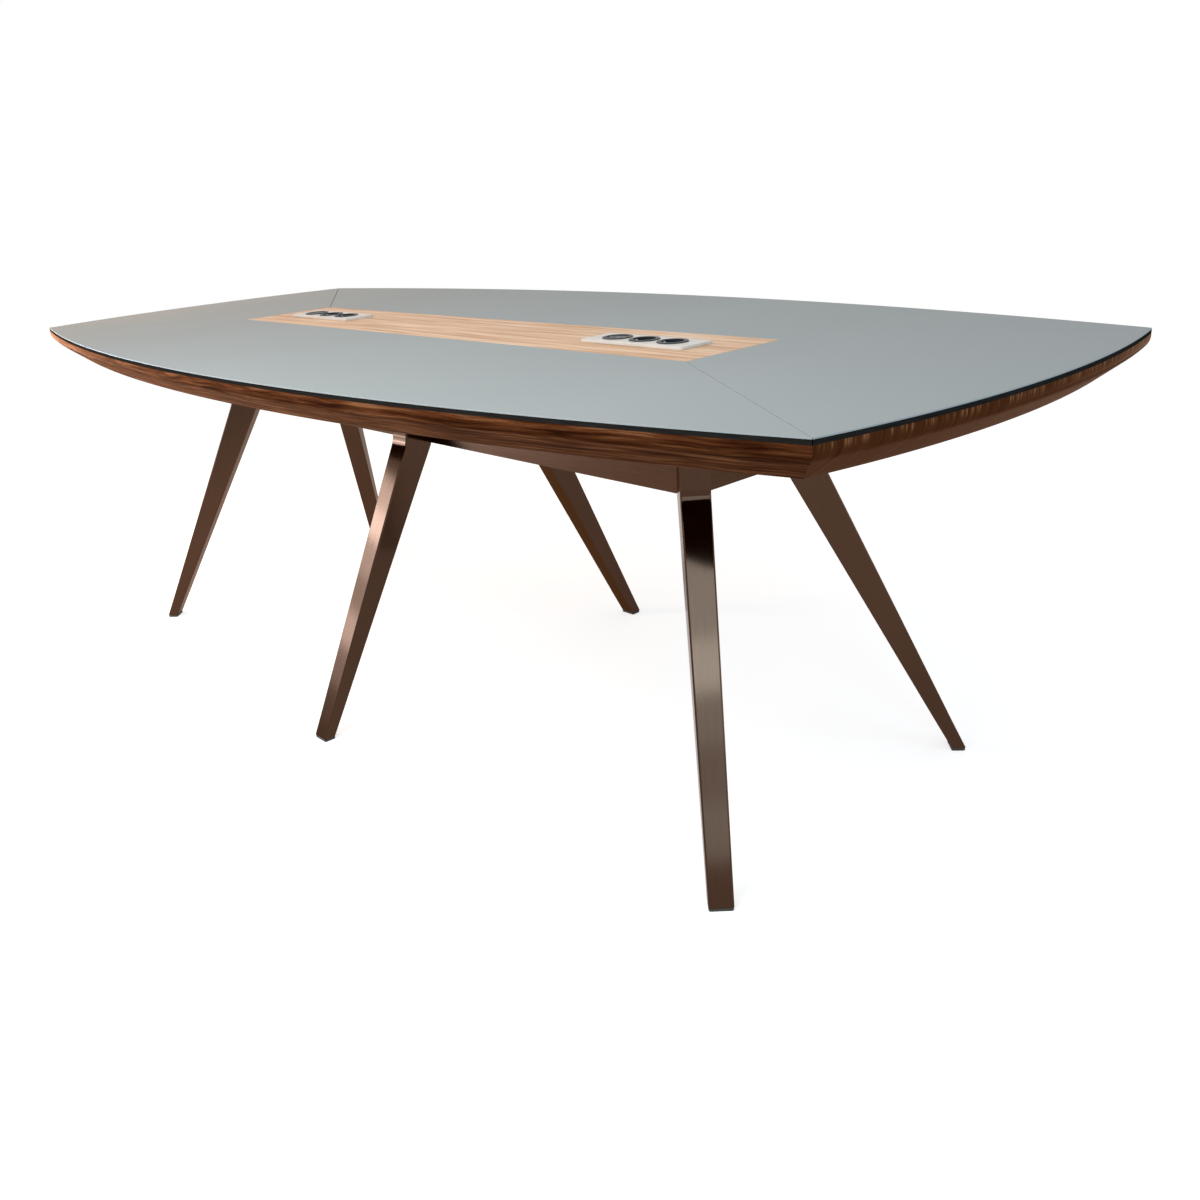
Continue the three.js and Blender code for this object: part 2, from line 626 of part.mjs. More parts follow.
// Bolt along x with its head at the inner end, from under the head to the tip
function boltGeometry(headFace, tip) {
  const headRadius = BOLT_HEAD_ACROSS / 2 / Math.cos(Math.PI / HEX_SIDES);
  const head = new THREE.CylinderGeometry(headRadius, headRadius, BOLT_HEAD_HEIGHT, HEX_SIDES);
  head.rotateX(Math.PI / 2).translate(0, 0, headFace - BOLT_HEAD_HEIGHT / 2);
  const shank = bar(BOLT_DIAMETER, headFace - BOLT_HEAD_HEIGHT / 2, tip, BOLT_SIDES);
  return toGeometry(toSolid(head).add(toSolid(shank))).rotateY(Math.PI / 2);
}

function padGeometry() {
  const half = legWidth(legBottom) / 2 - PAD_INSET;
  const low = innerFace.at(legBottom) + PAD_INSET;
  const high = outerFace.at(legBottom) - PAD_INSET;
  const pad = prism(roundedRectangle(low, high, -half, half, LEG_CORNER), 0, PAD_HEIGHT);
  const seatFloor = PAD_HEIGHT - STUD_COLLAR_HEIGHT - SEAT_GAP;
  const seatBore = STUD_COLLAR_DIAMETER + 2 * HOLE_GAP;
  const seat = bar(seatBore, seatFloor, PAD_HEIGHT + CUT_OVERRUN, ROUND_SIDES);
  return cut(pad, [seat.translate(studReach, 0, 0)]);
}

function studGeometry() {
  const low = PAD_HEIGHT - STUD_COLLAR_HEIGHT;
  const collar = bar(STUD_COLLAR_DIAMETER, low, PAD_HEIGHT, ROUND_SIDES);
  const shank = bar(STUD_DIAMETER, low, studHoleTop - SEAT_GAP, BOLT_SIDES);
  return toGeometry(toSolid(collar).add(toSolid(shank)));
}

// The six legs: each stands with its bolts and its levelling foot in a group turned to face outward
function addLegs() {
  const leg = legGeometry();
  const pad = padGeometry();
  const stud = studGeometry();
  const endHead = -(CORNER_PLATE_DEPTH + PLATE_STOCK + SEAT_GAP);
  const middleHead = -(SEAT_GAP + RAIL_WALL + SEAT_GAP + PLATE_STOCK + SEAT_GAP);
  const endBolt = boltGeometry(endHead, BOLT_GRIP);
  const middleBolt = boltGeometry(middleHead, BOLT_GRIP);
  const rows = [
    { name: 'left', signX: -1 },
    { name: 'middle', signX: 0 },
    { name: 'right', signX: 1 },
  ];
  for (const [side, signY] of [['front', -1], ['back', 1]]) {
    for (const { name, signX } of rows) {
      const place = `${side}_${name}`;
      const outX = signX * Math.sin(endLegTurn);
      const outY = signX === 0 ? signY : signY * Math.cos(endLegTurn);
      const setback = signX === 0 ? -SEAT_GAP : CORNER_SETBACK;
      const stand = new THREE.Group();
      stand.position.set(signX * ringX - outX * setback, signY * ringY - outY * setback, 0);
      stand.rotation.z = Math.atan2(outY, outX);
      table.add(stand);
      addMesh(stand, `leg_${place}`, leg, bronzeSteel);
      boltHeights.forEach((z, i) => {
        const level = i === 0 ? 'lower' : 'upper';
        const shape = signX === 0 ? middleBolt : endBolt;
        addMesh(stand, `leg_bolt_${place}_${level}`, shape, zincSteel).position.z = z;
      });
      addMesh(stand, `leveller_stud_${place}`, stud, zincSteel).position.x = studReach;
      addMesh(stand, `leveller_pad_${place}`, pad, nylon);
      if (signX !== 0) addCornerPlate(`corner_plate_${place}`, signX, signY);
    }
  }
}

addTop();
modules.forEach(addModule);
addRails();
addMiddle();
addLegs();

export default table;
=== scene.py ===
import math

import bmesh
import bpy
from mathutils import Matrix, Vector


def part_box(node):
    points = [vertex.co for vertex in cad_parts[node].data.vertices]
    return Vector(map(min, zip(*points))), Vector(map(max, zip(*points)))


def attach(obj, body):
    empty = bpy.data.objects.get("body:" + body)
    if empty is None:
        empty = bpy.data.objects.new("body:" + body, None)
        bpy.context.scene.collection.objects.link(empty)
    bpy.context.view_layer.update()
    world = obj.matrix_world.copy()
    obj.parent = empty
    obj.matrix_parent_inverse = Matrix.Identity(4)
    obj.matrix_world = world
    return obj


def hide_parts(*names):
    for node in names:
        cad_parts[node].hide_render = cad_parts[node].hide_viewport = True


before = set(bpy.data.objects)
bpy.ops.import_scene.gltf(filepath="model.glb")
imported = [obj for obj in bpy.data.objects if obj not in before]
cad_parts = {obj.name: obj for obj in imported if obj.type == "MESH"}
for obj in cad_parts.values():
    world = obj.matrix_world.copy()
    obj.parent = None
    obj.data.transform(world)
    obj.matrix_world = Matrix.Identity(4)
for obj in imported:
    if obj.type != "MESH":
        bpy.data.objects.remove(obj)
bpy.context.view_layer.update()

# A conference table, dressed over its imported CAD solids.
# In metres: X along the table, Y across it to the back, Z up from the floor.
TABLE = "table"
SIDES = ("left", "right")
LEG_PLACES = [(side, row) for side in ("front", "back") for row in ("left", "middle", "right")]

# Sizes of the CAD model, in metres
TOP_LENGTH = 2.400
TOP_WIDTH = 1.145
SIDE_BOW = 0.147
END_BOW = 0.051
CORNER_X = TOP_LENGTH / 2 - END_BOW
CORNER_Y = TOP_WIDTH / 2 - SIDE_BOW
SEAM = 0.0012
INLAY_LENGTH = 1.390
INLAY_WIDTH = 0.230
EDGE_LAND = 0.004
NOSE_RADIUS = 0.022
BEVEL_INSET = 0.048
HOUSING_CLEARANCE = 0.002
PLATE_CORNER = 0.005
INSERT_RIM = 0.054
INSERT_BODY = 0.047
INSERT_WELL = 0.039
INSERT_PITCH = 0.064
RIM_HEIGHT = 0.0015
SOCKET_DEPTH = 0.016
PIN_HOLE = 0.005
PIN_PITCH = 0.019
PIN_DEPTH = 0.010
PORT_DEPTH = 0.014
DATA_PORT = (0.012, 0.012)
USB_PORT = (0.0065, 0.014)
PORT_SPACING = 0.017
GLAND_BORE = 0.009
GLAND_NECK = 0.016
GLAND_FLANGE = 0.022
GLAND_FLANGE_THICKNESS = 0.004
RING_X = 0.708
RING_Y = 0.121
END_LEG_TURN = math.radians(47)
CORNER_SETBACK = 0.010
SEAT_GAP = 0.0003
POST_DEPTH = 0.0615
POST_WIDTH = 0.0475
FOOT_REACH = 0.318
FOOT_DEPTH = 0.025
FOOT_WIDTH = 0.0385
KNEE_HEIGHT = 0.5443
KNEE_OUTER_RADIUS = 0.052
KNEE_INNER_RADIUS = 0.040
LEG_CORNER = 0.003
LEG_BOTTOM = 0.0053
LEG_TOP = 0.6894
STUD_BORE = 0.0086
STUD_LENGTH = 0.020
STUD_DIAMETER = 0.008
STUD_COLLAR = 0.012
STUD_COLLAR_LOW = 0.0026
STUD_COLLAR_HIGH = 0.005
THREAD_PITCH = 0.00125
THREAD_DEPTH = 0.0007
BOLT_DIAMETER = 0.008
BOLT_HEAD_ACROSS = 0.013
BOLT_HEAD_HEIGHT = 0.0055

# Finer forms that the CAD leaves plain
KNEE_RISE = 0.012
LAMINATE_THICKNESS = 0.0019
PANEL_EASE = 0.0012
MITRE_EASE_SHARE = 0.25
INLAY_EASE = 0.0006
ARRIS_RUN = 0.0015
ARRIS_RISE = 0.0009
PLATE_EASE = 0.0016
HOLE_EASE = 0.0006
RIM_EASE = 0.0012
PIN_LIP = 0.0004
PIN_SLEEVE_TOP = 0.003
GLAND_EASE = 0.001
GLAND_CHAMFER = 0.0006
FOOT_EASE = 0.0008
COLLAR_CHAMFER = 0.0003
BOLT_TIP_CHAMFER = 0.0008
RAIL_EASE = 0.0009
SMALL_EASE = 0.0006

# Bolt head from its outer face inward, as (share of its full width, height)
BOLT_HEAD_PROFILE = ((0.86, 0.0), (0.98, 0.0009), (1.0, 0.0014), (1.0, BOLT_HEAD_HEIGHT))

# Earth clips. Upper bends are (distance off the wall, depth below the face), lower ones (distance, height).
CLIP_WIDTH = 0.0045
CLIP_THICKNESS = 0.0008
CLIP_UPPER = ((0.0003, 0.0025), (0.0022, 0.0060))
CLIP_LOWER = ((0.0026, 0.0035), (0.0016, -0.0001))

# Metal in the ports. A contact's bends are (place across the port, depth), its end (place, height).
PORTS = ((DATA_PORT, -PORT_SPACING / 2), (USB_PORT, PORT_SPACING / 2))
SHIELD_LIP = 0.0008
SHIELD_WALL = 0.0004
SHIELD_RISE = 0.0005
SHIELD_SEAT = 0.0001
PORT_FLOOR_GAP = 0.0002
CONTACT_COUNT = 8
CONTACT_PITCH = 0.00105
CONTACT_SIZE = (0.0004, 0.0005)
CONTACT_BENDS = ((-0.0045, 0.0020), (0.0012, 0.0075))
CONTACT_END = (0.0045, 0.0008)
TONGUE_SIZE = (0.0018, 0.0106)
TONGUE_SETBACK = 0.0012

# Steps of the round forms
SIDE_STEPS = 120
END_STEPS = 60
NOSE_STEPS = 14
MATT_NOSE_STEPS = 8
BEVEL_STEPS = 4
EASE_STEPS = 3
WIDE_EASE_STEPS = 5
KNEE_STEPS = 28
SHANK_STEPS = 10
CORNER_STEPS = 6
ROUND_STEPS = 64
GLAND_STEPS = 48
COLLAR_STEPS = 40
SHANK_ROUND_STEPS = 32
THREAD_STEPS = 24
THREAD_LEVELS = 8
PIN_STEPS = 20
HEXAGON = 6
SHARP_ANGLE = math.radians(32)
EASED_ANGLE = math.radians(40)
WELD_DISTANCE = 1e-6


# Materials

WHITE = (1.0, 1.0, 1.0)
BRONZE = (0.066, 0.0345, 0.0215)
EDGE_TINT = (0.55, 0.48, 0.44, 1.0)
SHEEN_TINT = (1.0, 0.57, 0.37, 1.0)
SHEEN_ROUGHNESS = 0.24
DULL_TINT = (0.86, 0.84, 0.78)
WALNUT_STOPS = [
    (0.34, (0.020, 0.0048, 0.0014)),
    (0.44, (0.062, 0.0175, 0.0056)),
    (0.53, (0.115, 0.0380, 0.0135)),
    (0.64, (0.240, 0.1000, 0.0440)),
]
INLAY_STOPS = [
    (0.34, (0.46, 0.240, 0.120)),
    (0.45, (0.66, 0.410, 0.240)),
    (0.55, (0.78, 0.535, 0.355)),
    (0.66, (0.86, 0.655, 0.480)),
]
WANDER_SCALE = (0.8, 0.05)
FIBRE_SCALE = (10, 8)
PORE_SCALE = (40, 14)
GRAIN_SWAY = 1.2
FIBRE_SHARE = 0.16
PORE_DARKNESS = 0.40
PORE_SOFTNESS = 0.10
MIDDLE_TONE = 0.5
END_TONE = 0.480
END_FIGURE_SHARE = 0.22
# Strength of the painted highlight strokes at the crown of the short ends
PAINTED_HIGHLIGHT_GAIN = 1.3
BRUSH_FINE = 2600
BRUSH_LONG = 14
BRUSH_ANISOTROPY = 0.8


class Shader:
    """A procedural material, built node by node."""

    def __init__(self, name, **sockets):
        self.material = bpy.data.materials.new(name)
        self.material.use_nodes = True
        self.tree = self.material.node_tree
        self.bsdf = self.tree.nodes["Principled BSDF"]
        for socket, value in sockets.items():
            self.bsdf.inputs[socket].default_value = value

    def node(self, kind, inputs=(), **settings):
        node = self.tree.nodes.new(kind)
        for key, value in settings.items():
            setattr(node, key, value)
        for key, value in dict(inputs).items():
            if isinstance(value, bpy.types.NodeSocket):
                self.tree.links.new(value, node.inputs[key])
            else:
                node.inputs[key].default_value = value
        return node

    def place(self):
        """Position in the object's own frame, in metres."""
        return self.node("ShaderNodeTexCoord").outputs["Object"]

    def uv(self, name):
        return self.node("ShaderNodeUVMap", uv_map=name).outputs["UV"]

    def scaled(self, vector, scale):
        return self.node("ShaderNodeMapping", {"Vector": vector, "Scale": scale}).outputs["Vector"]

    def noise(self, vector, scale=1.0, detail=2.0, roughness=0.5, distortion=0.0):
        inputs = {"Vector": vector, "Scale": scale, "Detail": detail, "Roughness": roughness,
                  "Distortion": distortion}
        return self.node("ShaderNodeTexNoise", inputs).outputs[0]

    def ramp(self, factor, stops):
        node = self.node("ShaderNodeValToRGB", {"Fac": factor})
        elements = node.color_ramp.elements
        while len(elements) < len(stops):
            elements.new(1.0)
        for element, (position, colour) in zip(elements, stops):
            element.position = position
            element.color = (*colour, 1.0)
        return node.outputs["Color"]

    def fit(self, value, low, high, start=0.0, end=1.0):
        inputs = {"Value": value, "From Min": start, "From Max": end, "To Min": low, "To Max": high}
        return self.node("ShaderNodeMapRange", inputs).outputs["Result"]

    def maths(self, operation, first, second):
        return self.node("ShaderNodeMath", {0: first, 1: second}, operation=operation).outputs[0]

    def add(self, first, second):
        return self.maths("ADD", first, second)

    def subtract(self, first, second):
        return self.maths("SUBTRACT", first, second)

    def times(self, first, second):
        return self.maths("MULTIPLY", first, second)

    def shift(self, vector, value, direction):
        """Moves a coordinate along a direction by a value."""
        step = self.node("ShaderNodeVectorMath", {0: direction}, operation="SCALE")
        self.tree.links.new(value, step.inputs["Scale"])
        total = self.node("ShaderNodeVectorMath", {0: vector, 1: step.outputs[0]}, operation="ADD")
        return total.outputs[0]

    def parts(self, vector):
        split = self.node("ShaderNodeSeparateXYZ", {"Vector": vector})
        return split.outputs["X"], split.outputs["Y"]

    def mix(self, factor, first, second, blend="MIX"):
        inputs = {0: factor, 6: first, 7: second}
        return self.node("ShaderNodeMix", inputs, data_type="RGBA", blend_type=blend).outputs[2]

    def finish(self, colour, roughness, height, bump, depth):
        """Links the colour, the gloss and a relief of the given strength and depth."""
        relief = self.node("ShaderNodeBump", {"Strength": bump, "Distance": depth, "Height": height})
        linked = {"Base Color": colour, "Roughness": roughness, "Normal": relief.outputs[0]}
        for socket, value in linked.items():
            self.tree.links.new(value, self.bsdf.inputs[socket])
        return self.material


def shade(colour, share):
    """A colour made darker or lighter."""
    return tuple(min(1.0, c * share) for c in colour)


def laminate():
    """Satin grey laminate: fine speckle, faint clouds and a soft grain."""
    s = Shader("grey_laminate", **{"Specular IOR Level": 0.16})
    speckle = s.noise(s.place(), scale=1400, roughness=0.6)
    clouds = s.noise(s.place(), scale=2.2, detail=3)
    fine = s.ramp(speckle, [(0.30, (0.325, 0.362, 0.367)), (0.70, (0.395, 0.433, 0.434))])
    tint = s.ramp(clouds, [(0.25, (0.94, 0.945, 0.95)), (0.75, WHITE)])
    colour = s.mix(1.0, fine, tint, "MULTIPLY")
    roughness = s.fit(s.noise(s.place(), scale=260, detail=3, roughness=0.6), low=0.52, high=0.64)
    return s.finish(colour, roughness, speckle, bump=0.08, depth=0.0002)


def panel_core():
    """Dark core of the panels, pressed in layers that show on the edge."""
    s = Shader("panel_core", **{"Specular IOR Level": 0.0})
    layers = s.noise(s.scaled(s.place(), (30, 30, 1500)), detail=3, roughness=0.6)
    colour = s.ramp(layers, [(0.3, (0.010, 0.0095, 0.009)), (0.7, (0.026, 0.024, 0.022))])
    return s.finish(colour, s.fit(layers, low=0.50, high=0.66), layers, bump=0.12, depth=0.0003)


def veneer(name, stops, along, across, gloss, pore_share, specular, sheen=0.0, edge=None):
    """Striped veneer. In the UV map "grain" u runs with the grain and v across it, in metres."""
    s = Shader(name, **{"Specular IOR Level": specular, "Sheen Weight": sheen,
                        "Sheen Roughness": SHEEN_ROUGHNESS, "Sheen Tint": SHEEN_TINT})
    grain = s.uv("grain")

    def finer(along_share, across_share):
        return s.scaled(grain, (along * along_share, across * across_share, 1))

    sway = s.fit(s.noise(finer(*WANDER_SCALE)), low=-GRAIN_SWAY, high=GRAIN_SWAY)
    stripes = s.noise(s.shift(finer(1, 1), sway, (0, 1, 0)), detail=3, roughness=0.58, distortion=0.2)
    fibres = s.noise(finer(*FIBRE_SCALE), detail=3, roughness=0.6)
    pores = s.noise(finer(*PORE_SCALE), detail=1)
    tone = s.add(s.times(stripes, 1 - FIBRE_SHARE), s.times(fibres, FIBRE_SHARE))
    rough = s.fit(fibres, low=gloss - 0.06, high=gloss + 0.08)
    if edge:
        tone, rough = edge(s, tone, rough)
    colour = s.ramp(tone, stops)
    pit = s.fit(pores, low=1.0, high=0.0, start=pore_share, end=pore_share + PORE_SOFTNESS)
    dark = s.mix(s.times(pit, PORE_DARKNESS), colour, (*stops[0][1], 1.0))
    height = s.subtract(fibres, pit)
    return s.finish(dark, rough, height, bump=0.05, depth=0.0003)


def edge_with_painted_light(s, tone, rough):
    """Full figure along the sides, calm wood on the ends, with painted light: a painted highlight at the
    crown (lighter sides, light strokes on the ends) and painted fill on the down-facing bevel.

    The lacquer is satin at the crown, where hands polish it, and dull towards the bevel.
    """
    depth, on_ends = s.parts(s.uv("edge"))
    crown = s.fit(depth, low=1.0, high=0.0, start=0.003, end=0.011)
    # Painted fill light: the tone grows lighter down the bevel, which faces the floor and lies in shade.
    bevel = s.fit(depth, low=0.0, high=0.035, start=0.014, end=0.032)
    figure_and_painted_fill = s.subtract(s.add(tone, bevel), MIDDLE_TONE)
    # Painted highlight: the sides are drawn lighter towards the crown.
    side = s.add(figure_and_painted_fill, s.fit(crown, low=0.470, high=0.515))
    # Painted highlight: light strokes on the ends, only near the crown.
    painted_highlight_strokes = s.times(s.maths("MAXIMUM", figure_and_painted_fill, 0.0), s.times(crown, PAINTED_HIGHLIGHT_GAIN))
    calm = s.times(s.subtract(tone, MIDDLE_TONE), END_FIGURE_SHARE)
    # The ends carry the same painted fill on their bevel.
    end = s.add(s.add(painted_highlight_strokes, s.add(calm, END_TONE)), bevel)
    shown = s.add(side, s.times(on_ends, s.subtract(end, side)))
    return shown, s.add(rough, s.fit(crown, low=0.55, high=0.0))


def brushed(name, vector, stretch, base, gloss, spread=0.05, across=None):
    """Brushed metal: hair lines run where the stretch is small, and spread the gloss across them."""
    s = Shader(name, Metallic=1.0, **{"Specular Tint": EDGE_TINT})
    if across:
        s.bsdf.inputs["Anisotropic"].default_value = BRUSH_ANISOTROPY
        tangent = s.node("ShaderNodeTangent", direction_type="UV_MAP", uv_map=across)
        s.tree.links.new(tangent.outputs[0], s.bsdf.inputs["Tangent"])
    hair = s.noise(s.scaled(vector(s), stretch), detail=3, roughness=0.65)
    broad = s.noise(s.place(), scale=5.0)
    lines = s.ramp(hair, [(0.30, shade(base, 0.80)), (0.70, shade(base, 1.14))])
    tint = s.ramp(broad, [(0.3, (0.93, 0.92, 0.91)), (0.7, WHITE)])
    colour = s.mix(1.0, lines, tint, "MULTIPLY")
    roughness = s.fit(hair, low=gloss - spread, high=gloss + spread)
    return s.finish(colour, roughness, hair, bump=0.05, depth=0.0002)


def powder_coat(name, base):
    """Powder coat: a fine speckle over the dimples of its skin."""
    s = Shader(name)
    peel = s.noise(s.place(), scale=700)
    fine = s.noise(s.place(), scale=2600, roughness=0.6)
    colour = s.ramp(fine, [(0.3, shade(base, 0.8)), (0.7, shade(base, 1.2))])
    return s.finish(colour, s.fit(peel, low=0.48, high=0.64), peel, bump=0.18, depth=0.0003)


def moulded(name, base, rough, grain_scale, bump):
    """Moulded plastic with a fine spark-eroded grain."""
    s = Shader(name, **{"Specular IOR Level": 0.3})
    grain = s.noise(s.place(), scale=grain_scale, roughness=0.6)
    broad = s.noise(s.place(), scale=40)
    colour = s.ramp(broad, [(0.3, shade(base, 0.94)), (0.7, shade(base, 1.04))])
    roughness = s.fit(grain, low=rough - 0.07, high=rough + 0.09)
    return s.finish(colour, roughness, grain, bump, depth=0.0002)


def plated(name, base, rough):
    """Plated metal with a faint cloudy tint."""
    s = Shader(name, Metallic=1.0)
    clouds = s.noise(s.place(), scale=90, detail=3, roughness=0.6)
    dull = tuple(c * share for c, share in zip(base, DULL_TINT))
    colour = s.ramp(clouds, [(0.35, dull), (0.65, base)])
    fine = s.noise(s.place(), scale=1800, roughness=0.6)
    roughness = s.fit(clouds, low=rough - 0.08, high=rough + 0.10)
    return s.finish(colour, roughness, fine, bump=0.06, depth=0.0002)


grey_laminate = laminate()
dark_core = panel_core()
walnut = veneer("walnut_satin", WALNUT_STOPS, along=7.0, across=130, gloss=0.26, pore_share=0.30,
                specular=0.0, sheen=1.0, edge=edge_with_painted_light)
matt_walnut = veneer("walnut_matt", WALNUT_STOPS, along=7.0, across=130, gloss=0.40, pore_share=0.30,
                     specular=0.0, sheen=0.28, edge=edge_with_painted_light)
light_veneer = veneer("light_veneer", INLAY_STOPS, along=3.0, across=75, gloss=0.46, pore_share=0.28,
                      specular=0.10)
leg_steel = brushed("leg_steel", lambda s: s.uv("brush"), (BRUSH_FINE, BRUSH_LONG, 1), BRONZE,
                    gloss=0.11, spread=0.03, across="brush")
rail_steel_x = brushed("rail_steel_x", Shader.place, (BRUSH_LONG, BRUSH_FINE, BRUSH_FINE), BRONZE, gloss=0.26)
rail_steel_y = brushed("rail_steel_y", Shader.place, (BRUSH_FINE, BRUSH_LONG, BRUSH_FINE), BRONZE, gloss=0.26)
dark_steel = powder_coat("dark_powder", (0.030, 0.028, 0.027))
zinc = plated("zinc_plate", (0.46, 0.47, 0.48), rough=0.34)
brass = plated("brass_contact", (0.62, 0.44, 0.20), rough=0.28)
white_plastic = moulded("white_plastic", (0.68, 0.65, 0.60), rough=0.42, grain_scale=2200, bump=0.06)
black_plastic = moulded("black_plastic", (0.014, 0.014, 0.018), rough=0.42, grain_scale=1800, bump=0.10)
pad_nylon = moulded("pad_nylon", (0.060, 0.054, 0.048), rough=0.52, grain_scale=1200, bump=0.14)


# Mesh building

def add_piece(name, bm, materials, replaces=(), body=TABLE, place=None):
    """A finished piece: smooth where it is round, sharp where it turns, riding on its body."""
    if place is not None:
        bm.transform(place)
    bmesh.ops.recalc_face_normals(bm, faces=bm.faces)
    mesh = bpy.data.meshes.new(name)
    bm.to_mesh(mesh)
    bm.free()
    for material in materials:
        mesh.materials.append(material)
    mesh.shade_smooth()
    mesh.set_sharp_from_angle(angle=SHARP_ANGLE)
    piece = bpy.data.objects.new(name, mesh)
    bpy.context.scene.collection.objects.link(piece)
    weighted = piece.modifiers.new("flat_faces_stay_flat", "WEIGHTED_NORMAL")
    weighted.keep_sharp = True
    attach(piece, body)
    if replaces:
        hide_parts(*replaces)


def add_ring(bm, points):
    return [bm.verts.new(point) for point in points]


def bridge(bm, rings, material=0):
    """Quads between closed rings of equal length. Returns them ring by ring."""
    rows = []
    for lower, upper in zip(rings, rings[1:]):
        row = []
        for k, vert in enumerate(lower):
            following = (k + 1) % len(lower)
            face = bm.faces.new((vert, lower[following], upper[following], upper[k]))
            face.material_index = material
            row.append(face)
        rows.append(row)
    return rows


def cap(bm, *rings, material=0):
    """Flat face inside the first ring, with the other rings as holes in it."""
    if len(rings) == 1:
        face = bm.faces.new(rings[0])
        face.material_index = material
        return
    edges = []
    for ring in rings:
        for k, vert in enumerate(ring):
            following = ring[(k + 1) % len(ring)]
            edges.append(bm.edges.get((vert, following)) or bm.edges.new((vert, following)))
    filled = bmesh.ops.triangle_fill(bm, use_beauty=True, use_dissolve=False, edges=edges)
    for element in filled["geom"]:
        if isinstance(element, bmesh.types.BMFace):
            element.material_index = material


def tube(bm, rings):
    """Walls between the rings, closed at both ends."""
    bridge(bm, rings)
    cap(bm, rings[0])
    cap(bm, rings[-1])


def circle(radius, z, x=0.0, y=0.0, steps=ROUND_STEPS):
    turn = 2 * math.pi / steps
    return [(x + radius * math.cos(k * turn), y + radius * math.sin(k * turn), z) for k in range(steps)]


def rounded_rectangle(low_x, high_x, low_y, high_y, radius, z):
    points = []
    centres = [(high_x - radius, low_y + radius), (high_x - radius, high_y - radius),
               (low_x + radius, high_y - radius), (low_x + radius, low_y + radius)]
    for corner, (x, y) in enumerate(centres):
        for step in range(CORNER_STEPS + 1):
            angle = math.pi / 2 * (corner - 1 + step / CORNER_STEPS)
            points.append((x + radius * math.cos(angle), y + radius * math.sin(angle), z))
    return points


def rectangle(length, width, z, x=0.0, y=0.0):
    a, b = length / 2, width / 2
    return [(x - a, y - b, z), (x + a, y - b, z), (x + a, y + b, z), (x - a, y + b, z)]


def eased(radius, steps=EASE_STEPS):
    """Quarter round as (inset, drop) from the side face up to the top face."""
    angles = [math.pi / 2 * step / steps for step in range(steps + 1)]
    return [(radius * (1 - math.cos(a)), radius * (1 - math.sin(a))) for a in angles]


def turned(bm, profile, steps=ROUND_STEPS):
    """Surface of revolution about Z. A radius of zero closes it with a fan."""
    rings = []
    for radius, z in profile:
        points = circle(radius, z, steps=steps) if radius else [(0, 0, z)]
        rings.append(add_ring(bm, points))
    for lower, upper in zip(rings, rings[1:]):
        if len(lower) > 1 and len(upper) > 1:
            bridge(bm, [lower, upper])
            continue
        tip, ring = (lower[0], upper) if len(lower) == 1 else (upper[0], lower)
        for k, vert in enumerate(ring):
            bm.faces.new((tip, vert, ring[(k + 1) % len(ring)]))
    return rings


# Table top

def arc_radius(half_chord, bow):
    return (half_chord ** 2 + bow ** 2) / (2 * bow)


SIDE_RADIUS = arc_radius(CORNER_X, SIDE_BOW)
END_RADIUS = arc_radius(CORNER_Y, END_BOW)
SIDE_CENTRE = Vector((0, TOP_WIDTH / 2 - SIDE_RADIUS))
END_CENTRE = Vector((TOP_LENGTH / 2 - END_RADIUS, 0))


def outline_corner(inset):
    """Where the moved-in side arc and end arc cross, at the back right."""
    side, end = SIDE_RADIUS - inset, END_RADIUS - inset
    line = END_CENTRE - SIDE_CENTRE
    along = (side ** 2 - end ** 2 + line.length_squared) / (2 * line.length)
    across = math.sqrt(side ** 2 - along ** 2)
    unit = line.normalized()
    return SIDE_CENTRE + unit * along + Vector((unit.y, -unit.x)) * across


def outline(inset, z):
    """Closed outline of the top, moved in: right end, back side, left end, front side."""
    corner = outline_corner(inset)
    side, end = SIDE_RADIUS - inset, END_RADIUS - inset
    end_half, side_half = math.asin(corner.y / end), math.asin(corner.x / side)
    points = []
    for half in (1, -1):
        for step in range(END_STEPS):
            angle = end_half * (2 * step / END_STEPS - 1)
            points.append((half * (END_CENTRE.x + end * math.cos(angle)), half * end * math.sin(angle), z))
        for step in range(SIDE_STEPS):
            angle = side_half * (1 - 2 * step / SIDE_STEPS)
            points.append((half * side * math.sin(angle), half * (SIDE_CENTRE.y + side * math.cos(angle)), z))
    return points


def on_end(k):
    """True if the k-th stretch of the outline is on a short end of the top."""
    return k % (END_STEPS + SIDE_STEPS) < END_STEPS


def board_profile(low, high):
    """Edge of the board as (inset, height) from the underside up: eased arris, bevel, nose, land."""
    nose = high - EDGE_LAND
    run, drop = BEVEL_INSET - NOSE_RADIUS, nose - low
    tangent = math.acos(NOSE_RADIUS / math.hypot(run, drop)) - math.atan2(run, drop)
    last = math.pi / 2 - tangent
    end = Vector((NOSE_RADIUS * (1 - math.cos(last)), nose - NOSE_RADIUS * math.sin(last)))
    start = Vector((BEVEL_INSET, low))
    slope = (end - start).normalized()
    profile = [Vector((BEVEL_INSET + ARRIS_RUN, low))]
    for step in range(BEVEL_STEPS + 1):
        profile.append((start + slope * ARRIS_RISE).lerp(end, step / BEVEL_STEPS))
    for step in range(1, NOSE_STEPS + 1):
        angle = last * (1 - step / NOSE_STEPS)
        profile.append(Vector((NOSE_RADIUS * (1 - math.cos(angle)), nose - NOSE_RADIUS * math.sin(angle))))
    profile.append(Vector((0, high)))
    return profile


def housing_cutout(side, z):
    low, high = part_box("power_housing_" + side)
    length = high.x - low.x + 2 * HOUSING_CLEARANCE
    width = high.y - low.y + 2 * HOUSING_CLEARANCE
    return rectangle(length, width, z, (low.x + high.x) / 2)


